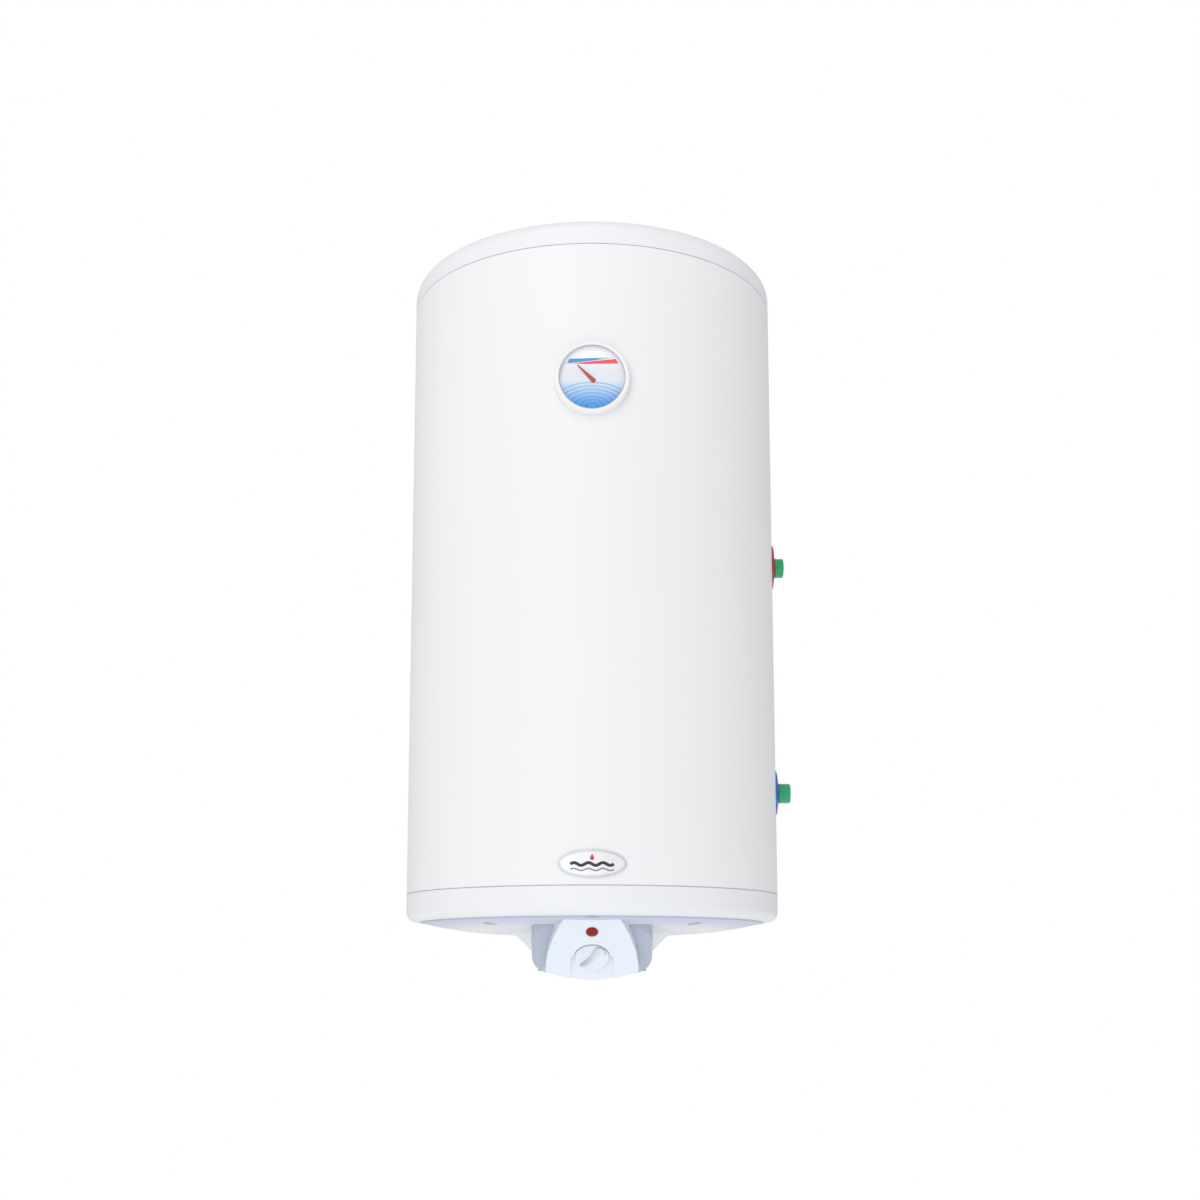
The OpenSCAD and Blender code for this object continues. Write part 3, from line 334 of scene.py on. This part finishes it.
def make_materials():
    """One finish for each material slot of the record, and the inks of the dial and badge."""
    dial = middle("gauge_dial")
    bar = 0.0295  # half the length of the dial's wedges
    return {
        "enamel": surface("enamel", (0.875, 0.872, 0.870), 0.50, swing=0.005, patch=0.4,
                          grain=0.0016, grain_depth=0.00002, specular=0.35),
        "cover_plastic": cover_material(),
        "fascia_plastic": surface("fascia_plastic", (0.83, 0.862, 0.925), 0.30, swing=0.004,
                                  patch=0.06, grain=0.0006, grain_depth=0.000006, coat=0.25,
                                  coat_roughness=0.15),
        # Painted shade: the knob's grip is darker towards its left end, where its side is shaded.
        "knob_grip": fading_ink_and_shade("knob_grip", (0.50, 0.50, 0.53), (0.74, 0.76, 0.80),
                                -0.016, 0.010),
        "housing_plastic": surface("housing_plastic", (0.47, 0.51, 0.60), 0.40, swing=0.015,
                                   patch=0.08, grain=0.0007, grain_depth=0.00003, coat=0.1),
        "steel": surface("steel", (0.62, 0.63, 0.65), 0.30, metallic=1.0, swing=0.06, patch=0.02,
                         rough_swing=0.1, grain=0.0006, brushed=(1, 1, 8)),
        "tank_enamel": surface("tank_enamel", (0.05, 0.08, 0.16), 0.18, swing=0.12, patch=0.05,
                               grain=0.003, grain_depth=0.0001, coat=0.6),
        "magnesium": surface("magnesium", (0.42, 0.43, 0.43), 0.6, metallic=0.8, swing=0.1,
                             patch=0.03, grain=0.001, grain_depth=0.0001),
        "copper": surface("copper", (0.70, 0.33, 0.20), 0.32, metallic=1.0, swing=0.12, patch=0.02,
                          grain=0.0008, brushed=(1, 1, 6)),
        "brass": surface("brass", (0.68, 0.50, 0.22), 0.30, metallic=1.0, swing=0.06, patch=0.02,
                         grain=0.0006),
        "ceramic": surface("ceramic", (0.80, 0.76, 0.66), 0.55, swing=0.04, patch=0.01,
                           grain=0.0004),
        "insulation": foam_material(),
        "black_plastic": surface("black_plastic", (0.022, 0.022, 0.025), 0.45, swing=0.15,
                                 patch=0.03, grain=0.0007, grain_depth=0.00005),
        "gasket_rubber": surface("gasket_rubber", (0.02, 0.02, 0.02), 0.75, swing=0.2, patch=0.02,
                                 grain=0.0005, grain_depth=0.00008),
        "wire_plastic": surface("wire_plastic", (0.22, 0.09, 0.03), 0.4, swing=0.1, patch=0.02),
        "cap_green": surface("cap_green", (0.004, 0.40, 0.15), 0.28, swing=0.06, patch=0.02,
                             grain=0.0006, coat=0.4, coat_roughness=0.1),
        "cold_blue": surface("cold_blue", (0.02, 0.13, 0.62), 0.30, swing=0.06, patch=0.02,
                             grain=0.0006, coat=0.3),
        "hot_red": surface("hot_red", (0.42, 0.014, 0.02), 0.30, swing=0.06, patch=0.02,
                           grain=0.0006, coat=0.3),
        "lens_red": lens_material(),
        "dial_print": dial_material(),
        "pointer_red": surface("pointer_red", (0.50, 0.001, 0.003), 0.45, swing=0.05, patch=0.01,
                               grain=0.0004),
        "clear_window": window_material(),
        "badge_plate": surface("badge_plate", (0.87, 0.87, 0.88), 0.32, metallic=0.15, swing=0.02,
                               patch=0.02, grain=0.0005, brushed=(8, 1, 1)),
        "label_film": surface("label_film", (0.74, 0.75, 0.77), 0.40, swing=0.03, patch=0.02,
                              grain=0.0005),
        "rim_silver": surface("rim_silver", (0.66, 0.67, 0.69), 0.30, metallic=0.25, swing=0.03,
                              patch=0.01, grain=0.0004),
        "gauge_line": surface("gauge_line", (0.42, 0.43, 0.48), 0.4, swing=0.05, patch=0.01,
                              grain=0.0004),
        # Grey of the painted shadow inside the knob window's arch.
        "arch_shadow_paint": surface("arch_shadow_paint", (0.36, 0.40, 0.43), 0.5, swing=0.04, patch=0.01,
                               grain=0.0004),
        "ink_dark": surface("ink_dark", (0.025, 0.025, 0.028), 0.35, swing=0.1, patch=0.006,
                            grain=0.0004),
        "ink_red": surface("ink_red", (0.62, 0.02, 0.04), 0.35, swing=0.06, patch=0.006,
                           grain=0.0004),
        "ink_grey": surface("ink_grey", (0.22, 0.22, 0.24), 0.35, swing=0.08, patch=0.006,
                            grain=0.0004),
        "bar_cold": fading_ink_and_shade("bar_cold", (0.0, 0.24, 0.64), (0.75, 0.93, 0.98),
                               dial.x, dial.x + bar),
        "bar_hot": fading_ink_and_shade("bar_hot", (0.86, 0.012, 0.002), (0.92, 0.72, 0.66),
                              dial.x - bar * 0.2, dial.x - bar),
        # Grey of the painted shade at the foot of the joints between the casing and the covers.
        "seam_dark": surface("seam_dark", (0.60, 0.60, 0.62), 0.7, swing=0.05, patch=0.02),
    }


def dress_nodes(materials):
    """Gives every CAD node the material of its slot."""
    for entry in frame["record"]["subparts"]:
        data = frame["nodes"][entry["node"]].data
        data.materials.clear()
        data.materials.append(materials[entry["material_slot"]])


# ---- shapes ---------------------------------------------------------------------------------

def soften(points, radius, cuts=4):
    """A closed outline with its corners rounded, each no further than half its shorter side."""
    smooth = []
    count = len(points)
    for i, corner in enumerate(points):
        here = Vector(corner)
        before = Vector(points[i - 1]) - here
        after = Vector(points[(i + 1) % count]) - here
        start = here + before.normalized() * min(radius, before.length / 2)
        end = here + after.normalized() * min(radius, after.length / 2)
        for k in range(cuts + 1):
            t = k / cuts
            smooth.append(start.lerp(here, t).lerp(here.lerp(end, t), t))
    return smooth


def finish_mesh(name, mesh, place, material, smooth=True, angle=35):
    """Turns a bmesh drawn in millimetres into a piece with that material."""
    bmesh.ops.remove_doubles(mesh, verts=mesh.verts, dist=1e-4)
    bmesh.ops.recalc_face_normals(mesh, faces=mesh.faces)
    data = bpy.data.meshes.new(name)
    mesh.to_mesh(data)
    mesh.free()
    data.transform(place @ Matrix.Scale(MM, 4))
    data.materials.append(material)
    piece = bpy.data.objects.new(name, data)
    bpy.context.scene.collection.objects.link(piece)
    if smooth:
        data.shade_smooth()
        data.set_sharp_from_angle(angle=math.radians(angle))
    return piece


def join_rings(mesh, rings):
    """Faces between each ring of vertices and the next, all the way round."""
    for i, ring in enumerate(rings):
        following = rings[(i + 1) % len(rings)]
        for k in range(len(ring)):
            n = (k + 1) % len(ring)
            mesh.faces.new((ring[k], ring[n], following[n], following[k]))


def lathe(name, outline, place, material, steps=144, angle=35):
    """A piece turned about place's Z from (radius, height) points that close on themselves."""
    mesh = bmesh.new()
    rings = []
    for i in range(steps):
        turn = 2 * math.pi * i / steps
        rings.append([mesh.verts.new((r * math.cos(turn), r * math.sin(turn), h))
                      for r, h in outline])
    for i, ring in enumerate(rings):
        following = rings[(i + 1) % steps]
        for k in range(len(outline)):
            n = (k + 1) % len(outline)
            if outline[k][0] > 1e-6 or outline[n][0] > 1e-6:
                mesh.faces.new((ring[k], ring[n], following[n], following[k]))
    return finish_mesh(name, mesh, place, material, angle=angle)


def plate(name, outline, thickness, place, material, edge=0.0):
    """A flat piece of that outline, rising thickness from place, its front edge rounded by edge."""
    mesh = bmesh.new()
    face = mesh.faces.new([mesh.verts.new((x, y, 0)) for x, y in outline])
    made = bmesh.ops.extrude_face_region(mesh, geom=[face])
    top = [v for v in made["geom"] if isinstance(v, bmesh.types.BMVert)]
    bmesh.ops.translate(mesh, verts=top, vec=(0, 0, thickness))
    if edge:
        rim = [e for e in mesh.edges if all(abs(v.co.z - thickness) < 1e-6 for v in e.verts)]
        bmesh.ops.bevel(mesh, geom=rim, offset=edge, segments=3, profile=0.5, affect="EDGES",
                        clamp_overlap=True)
    return finish_mesh(name, mesh, place, material)


def curve_points(points, cuts=8):
    """A smooth line through the points (Catmull-Rom)."""
    ends = [2 * Vector(points[0]) - Vector(points[1])]
    ends += [Vector(p) for p in points]
    ends += [2 * Vector(points[-1]) - Vector(points[-2])]
    line = []
    for a, b, c, d in zip(ends, ends[1:], ends[2:], ends[3:]):
        for k in range(cuts):
            t = k / cuts
            line.append(0.5 * (2 * b + (c - a) * t + (2 * a - 5 * b + 4 * c - d) * t * t
                               + (3 * b - a - 3 * c + d) * t ** 3))
    return line + [ends[-2]]


def ridge(mesh, line, widths, height, sides=14):
    """A half-round bar along a flat line, in mesh, as wide at each point as widths says."""
    rings = []
    for i, point in enumerate(line):
        along = (line[min(i + 1, len(line) - 1)] - line[max(i - 1, 0)]).normalized()
        across = Vector((-along.y, along.x))
        width = widths[i]
        ring = []
        for k in range(sides + 1):
            turn = math.pi * k / sides
            side = point + across * math.cos(turn) * width / 2
            rise = math.sin(turn) ** 0.75 * height * min(1.0, width / max(widths) + 0.15)
            ring.append(mesh.verts.new((side.x, side.y, rise)))
        rings.append(ring)
    for ring, following in zip(rings, rings[1:]):
        for k in range(sides):
            mesh.faces.new((ring[k], ring[k + 1], following[k + 1], following[k]))
        mesh.faces.new((ring[sides], ring[0], following[0], following[sides]))
    mesh.faces.new(rings[0])
    mesh.faces.new(list(reversed(rings[-1])))


# ---- seams ----------------------------------------------------------------------------------

def make_seams(materials):
    """A grey strip at the foot of each joint between the casing and a cover, painting the shade deep
    in the gap.
    """
    outer = CASING_R / MM - 0.55
    strip = soften([(outer - 0.9, -0.5), (outer, -0.5), (outer, 0.5), (outer - 0.9, 0.5)], 0.15, 2)
    for name, height in (("seam_strip_lower", LOWER_SEAM), ("seam_strip_upper", UPPER_SEAM)):
        place = Matrix.Translation((AXIS.x, AXIS.y, height))
        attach(lathe(name, strip, place, materials["seam_dark"], steps=240), "heater")


# ---- water connections ----------------------------------------------------------------------

def make_cap(node, body, direction, materials):
    """A smooth push-on cap with a rolled lip, in place of its CAD node."""
    low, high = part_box(node)
    axis = Vector(direction)
    length = abs((high - low).dot(axis)) / MM
    across = high.x - low.x if abs(axis.z) > 0.5 else high.z - low.z
    radius = across / 2 / MM
    mouth = middle(node) - axis * length * MM / 2
    body_r = radius - 0.35
    bore = 10.54
    outline = [(0, length), (body_r - 1.6, length), (body_r - 0.6, length - 0.4),
               (body_r, length - 1.5), (body_r, 2.4), (radius, 1.9), (radius, 0.5),
               (radius - 0.5, 0), (bore, 0), (bore, length - 2), (0, length - 2)]
    piece = lathe(node + "_skin", outline, facing(axis, mouth), materials["cap_green"], angle=50)
    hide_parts(node)
    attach(piece, body)


def make_port_rosette(node, slot_name, materials):
    """A dished ring that follows the casing's curve, in place of its CAD node."""
    low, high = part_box(node)
    centre = middle(node)
    outer = (high.z - low.z) / 2 / MM
    front = (high.x - AXIS.x) / MM
    bore = 10.63
    dish_depth, flat_part = 2.3, 0.18
    lip_drop, lip_start = 0.7, 0.93
    steps, cuts = 96, 14
    mesh = bmesh.new()
    rows = []
    for i in range(steps):
        turn = 2 * math.pi * i / steps
        row = []
        for k in range(cuts + 1):
            t = k / cuts
            r = bore + (outer - bore) * t
            y, z = r * math.cos(turn), r * math.sin(turn)
            dish = front - dish_depth * max(0.0, t - flat_part) ** 0.7
            lip = lip_drop * max(0.0, t - lip_start) / (1 - lip_start)
            row.append(mesh.verts.new((dish - lip, y, z)))
        for k in (cuts, 0):
            r = bore + (outer - bore) * k / cuts
            y, z = r * math.cos(turn), r * math.sin(turn)
            row.append(mesh.verts.new((math.sqrt((CASING_R / MM + 0.15) ** 2 - y * y), y, z)))
        rows.append(row)
    join_rings(mesh, rows)
    place = Matrix.Translation((AXIS.x, centre.y, centre.z))
    piece = finish_mesh(node + "_dish", mesh, place, materials[slot_name], angle=40)
    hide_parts(node)
    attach(piece, "heater")


# ---- thermometer ----------------------------------------------------------------------------

def make_gauge(materials):
    """The bezel's rounded ring, the line inside it, and two printed wedges across the dial."""
    low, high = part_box("gauge_bezel")
    glass_low, glass_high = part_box("gauge_glass")
    outer = (high.x - low.x) / 2 / MM
    glass = (glass_high.x - glass_low.x) / 2 / MM
    rise = (high.y - low.y) / MM
    ring = soften([(glass + 0.15, 1.5), (glass + 0.15, rise - 0.9), (glass - 0.6, rise - 0.9),
                   (glass - 0.6, rise - 0.2), (glass, rise), (outer - 2.0, rise),
                   (outer, rise - 2.4), (outer, 0.9), (outer - 0.8, 0.9)], 0.8, 5)
    centre = middle("gauge_bezel")
    place = facing((0, -1, 0), (centre.x, high.y, centre.z))
    bezel = lathe("gauge_bezel_ring", ring, place, materials["enamel"], steps=180, angle=50)
    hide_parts("gauge_bezel")
    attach(bezel, "heater")

    # A dark line where the window meets the ring.
    line = soften([(glass - 1.5, rise - 0.93), (glass - 0.5, rise - 0.93),
                   (glass - 0.5, rise - 0.7), (glass - 1.5, rise - 0.7)], 0.1, 2)
    dark_band = lathe("gauge_seal_line", line, place, materials["gauge_line"], steps=180)
    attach(dark_band, "heater")

    dial = middle("gauge_dial")
    face = facing((0, -1, 0), (dial.x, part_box("gauge_dial")[0].y - 0.02 * MM, dial.z))
    cold = [(-28.8, 17.6), (27.3, 24.0), (27.3, 24.9), (-26.0, 23.0)]
    hot = [(-28.0, 16.6), (30.0, 17.4), (27.4, 22.8), (-22.0, 17.9)]
    for side, outline in (("cold", cold), ("hot", hot)):
        bar = plate("dial_bar_" + side, soften(outline, 0.3, 3), 0.12, face,
                    materials["bar_" + side])
        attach(bar, "heater")


def make_pointer(materials):
    """A tapered needle, widest near its blunt tail, in place of its CAD node."""
    pivot = JOINTS["pointer_turn"]["pos_m"]
    length, tail, lean = 23.7, 4.7, 45
    place = facing((0, -1, 0), (pivot[0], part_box("gauge_dial")[0].y - 0.55 * MM, pivot[2]))
    place = place @ Matrix.Rotation(math.radians(lean), 4, "Z")
    needle = [(-0.4, length), (0.4, length), (2.7, 1.4 - tail), (1.5, -tail), (-1.5, -tail),
              (-2.7, 1.4 - tail)]
    piece = plate("gauge_needle", soften(needle, 0.8, 4), 0.7, place, materials["pointer_red"],
                  edge=0.25)
    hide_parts("gauge_pointer")
    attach(piece, "pointer")


# ---- badge ----------------------------------------------------------------------------------

def wrap_front(piece):
    """Bends a flat piece, drawn on the casing's front line, round the casing."""
    for vertex in piece.data.vertices:
        x = vertex.co.x - AXIS.x
        out = AXIS.y - CASING_R - vertex.co.y
        radius = CASING_R + out
        vertex.co.y = AXIS.y - math.sqrt(max(radius * radius - x * x, 0))


def wave_band(width, height, crests, thickness):
    """The outline of a wavy band of even thickness."""
    count = crests * 20
    upper, lower = [], []
    for i in range(count + 1):
        turn = 2 * math.pi * crests * i / count
        x, y = width * (i / count - 0.5), height * math.sin(turn)
        slope = height * 2 * math.pi * crests / width * math.cos(turn)
        side = Vector((-slope, 1)).normalized() * thickness / 2
        upper.append((x + side.x, y + side.y))
        lower.append((x - side.x, y - side.y))
    return upper + lower[::-1]


def drop_outline(radius, point):
    """A water drop: a round belly that rises to a point."""
    outline = []
    for i in range(40):
        turn = math.radians(-225 + 270 * i / 39)
        outline.append((radius * math.cos(turn), radius * math.sin(turn)))
    return outline + [(0, point)]


def make_badge(materials):
    """A raised oval rim, and a plain motif of waves and a drop on the plate."""
    low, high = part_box("badge")
    half_w, half_h = (high.x - low.x) / 2 / MM, (high.z - low.z) / 2 / MM
    place = facing((0, -1, 0), (AXIS.x, AXIS.y - CASING_R, middle("badge").z))
    steps = 96
    mesh = bmesh.new()
    rows = []
    section = soften([(-2.8, 1.55), (-2.2, 2.15), (-0.6, 2.15), (0.25, 1.3), (0.25, 0.3),
                      (-2.8, 0.3)], 0.4, 3)
    for i in range(steps):
        turn = 2 * math.pi * i / steps
        rows.append([mesh.verts.new(((half_w + inward) * math.cos(turn),
                                     (half_h + inward) * math.sin(turn), rise))
                     for inward, rise in section])
    join_rings(mesh, rows)
    rim = finish_mesh("badge_rim", mesh, place, materials["rim_silver"], angle=50)
    plate_face = place @ Matrix.Translation((0, 0, 1.72 * MM))
    marks = [
        ("badge_wave_upper", wave_band(48, 1.5, 3, 3.4), (0, -0.6), "ink_dark"),
        ("badge_wave_lower", wave_band(48, 1.2, 3, 1.5), (0, -6.6), "ink_grey"),
        ("badge_drop", drop_outline(2.3, 5.0), (0, 6.0), "ink_red"),
    ]
    pieces = [rim]
    for name, outline, (x, y), ink in marks:
        moved = [(px + x, py + y) for px, py in outline]
        pieces.append(plate(name, moved, 0.12, plate_face, materials[ink]))
    for piece in pieces:
        wrap_front(piece)
        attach(piece, "heater")


# ---- control knob ---------------------------------------------------------------------------

def make_knob(materials):
    """A shallow dished disc with a curved grip, in place of its CAD node."""
    joint = JOINTS["knob_turn"]
    place = facing(joint["axis"], joint["pos_m"])
    radius, front, slope_angle = 19.8, 4.9, 8
    outline = [(0, 0.6), (7, 0.4), (radius - 0.8, 0.5), (radius, 1.2), (radius, front - 1.8),
               (radius - 0.5, front - 0.7), (radius - 1.7, front - 0.1), (radius - 3, front),
               (radius - 5, front - 0.5), (8, front - 0.9), (0, front - 1.0)]
    disc = lathe("knob_disc", outline, place, materials["fascia_plastic"], steps=128, angle=50)
    spine = [(-12.8, -11.2), (-6.5, -7.4), (0, -0.8), (4.4, 7), (8.6, 11.6), (12.8, 9),
             (14.2, 3.2)]
    line = curve_points(spine)
    count = len(line) - 1
    widths = [1.6 + 4.6 * math.sin(math.pi * (0.09 + 0.86 * i / count)) ** 0.6
              for i in range(count + 1)]
    mesh = bmesh.new()
    ridge(mesh, line, widths, 4.6)
    grip = finish_mesh("knob_grip", mesh, place @ Matrix.Translation((0, 0, (front - 1.2) * MM)),
                       materials["knob_grip"], angle=60)
    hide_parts("control_knob")
    for piece in (disc, grip):
        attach(piece, "knob")

    # A painted shadow inside the window's arch: a thin grey crescent over the knob, parallel to the
    # fascia's slope, where the fascia's lip shades it.
    # It is widest at the top and tapers down both sides.
    outer, widest, steps = 20.95, 2.9, 40
    arc = [math.radians(12 + 156 * i / steps) for i in range(steps + 1)]
    rim = [(outer * math.cos(turn), outer * math.sin(turn)) for turn in arc]
    inside = [outer - widest * math.sin(math.pi * i / steps) ** 0.5 for i in range(1, steps)]
    inner = [(r * math.cos(turn), r * math.sin(turn)) for r, turn in zip(inside, arc[1:-1])]
    lift = Matrix.Translation((0, 0, (front - 0.25) * MM))
    slope = Matrix.Rotation(math.radians(slope_angle), 4, "X")
    dark_band = plate("knob_arch_shadow", rim + inner[::-1], 0.25, place @ lift @ slope,
                 materials["arch_shadow_paint"])
    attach(dark_band, "heater")


# ---- rating label ---------------------------------------------------------------------------

def make_label_print(materials):
    """Plain printed bands on the rating label, with no lettering."""
    low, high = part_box("rating_label")
    centre = (low + high) / 2
    outward = Vector((centre.x - AXIS.x, centre.y - AXIS.y, 0)).normalized()
    face = facing(outward, AXIS + outward * (CASING_R + 0.42 * MM) + Vector((0, 0, centre.z)))
    width, columns = 72, 24
    for i, (height, y) in enumerate([(5, 18), (0.5, 9), (0.5, 0), (0.5, -9), (0.5, -18)]):
        outline = [(width * (k / columns - 0.5), y - height / 2) for k in range(columns + 1)]
        outline += [(x, y + height / 2) for x, _ in reversed(outline)]
        piece = plate("label_band_%d" % i, outline, 0.06, face, materials["ink_grey"])
        for vertex in piece.data.vertices:
            flat = vertex.co - AXIS
            flat.z = 0
            side = flat - outward * flat.dot(outward)
            lift = math.sqrt(CASING_R ** 2 - side.length_squared) - CASING_R
            vertex.co += outward * lift
        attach(piece, "heater")


# ---- light and stage ------------------------------------------------------------------------

def add_light(name, place, target, size, power, color=(1, 1, 1)):
    """A soft rectangular light at place, turned to the target."""
    data = bpy.data.lights.new(name, "AREA")
    data.shape = "RECTANGLE"
    data.size, data.size_y = size
    data.energy = power
    data.color = color
    lamp = bpy.data.objects.new(name, data)
    lamp.location = place
    lamp.rotation_euler = (Vector(target) - Vector(place)).to_track_quat("-Z", "Y").to_euler()
    bpy.context.scene.collection.objects.link(lamp)


def make_world(seen=1.0, cast=0.58):
    """A white surround that the camera sees brighter than it lights the object."""
    world = bpy.data.worlds.new("studio")
    bpy.context.scene.world = world
    world.use_nodes = True
    tree = world.node_tree
    tree.nodes.clear()
    path = tree.nodes.new("ShaderNodeLightPath")
    lit, shown = (tree.nodes.new("ShaderNodeBackground") for _ in range(2))
    lit.inputs["Color"].default_value = (0.97, 0.98, 1.0, 1)
    lit.inputs["Strength"].default_value = cast
    shown.inputs["Color"].default_value = (1, 1, 1, 1)
    shown.inputs["Strength"].default_value = seen
    mix = tree.nodes.new("ShaderNodeMixShader")
    out = tree.nodes.new("ShaderNodeOutputWorld")
    tree.links.new(path.outputs["Is Camera Ray"], mix.inputs["Fac"])
    tree.links.new(lit.outputs[0], mix.inputs[1])
    tree.links.new(shown.outputs[0], mix.inputs[2])
    tree.links.new(mix.outputs[0], out.inputs["Surface"])


def make_floor():
    """A pale floor well below the hanging heater."""
    nodes = Nodes("floor_paint")
    spots = nodes.noise(0.6, 3.0)
    nodes.feed(nodes.shader.inputs["Base Color"],
               nodes.mix(nodes.spread(spots, 0, 1), (0.90, 0.905, 0.91), (0.92, 0.925, 0.93)))
    nodes.shader.inputs["Roughness"].default_value = 0.7
    nodes.shader.inputs["Emission Color"].default_value = (0.95, 0.97, 1.0, 1)
    nodes.shader.inputs["Emission Strength"].default_value = 0.22
    mesh = bmesh.new()
    bmesh.ops.create_grid(mesh, x_segments=1, y_segments=1, size=6000)
    floor = finish_mesh("floor", mesh, Matrix.Translation((0, 0, CAD_BOX[0].z - 1.1)),
                        nodes.material, smooth=False)


def make_light():
    """Soft studio light: a broad key from the front left, and fills all round."""
    target = (AXIS.x, AXIS.y, (LOWER_SEAM + UPPER_SEAM) / 2)
    nose = (AXIS.x, AXIS.y - 0.1, LOWER_SEAM - 0.05)
    add_light("key", (-1.15, -3.7, 0.5), target, (2.6, 3.0), 31)
    add_light("left", (-2.6, -0.7, 0.0), target, (1.0, 2.4), 6)
    add_light("side", (2.6, -1.6, 0.2), target, (1.2, 2.4), 6)
    add_light("top", (-0.3, -1.9, 1.9), (AXIS.x, AXIS.y, UPPER_SEAM), (1.6, 1.0), 12)
    add_light("under", (0.1, -1.3, -1.9), nose, (1.2, 0.8), 9.5, (0.78, 0.87, 1.0))
    make_world()
    bpy.context.scene.view_settings.view_transform = "Standard"


# ---- build ----------------------------------------------------------------------------------

def build():
    """Makes everything that the picture and the exported model show."""
    make_camera()
    materials = make_materials()
    dress_nodes(materials)
    make_seams(materials)
    for node, body, direction in (("cold_pipe_cap", "cold_cap", (0, 0, -1)),
                                  ("hot_pipe_cap", "hot_cap", (0, 0, -1)),
                                  ("upper_port_cap", "upper_cap", (1, 0, 0)),
                                  ("lower_port_cap", "lower_cap", (1, 0, 0))):
        make_cap(node, body, direction, materials)
    make_port_rosette("upper_port_rosette", "hot_red", materials)
    make_port_rosette("lower_port_rosette", "cold_blue", materials)
    make_gauge(materials)
    make_pointer(materials)
    make_badge(materials)
    make_knob(materials)
    make_label_print(materials)
    make_floor()
    make_light()


build()
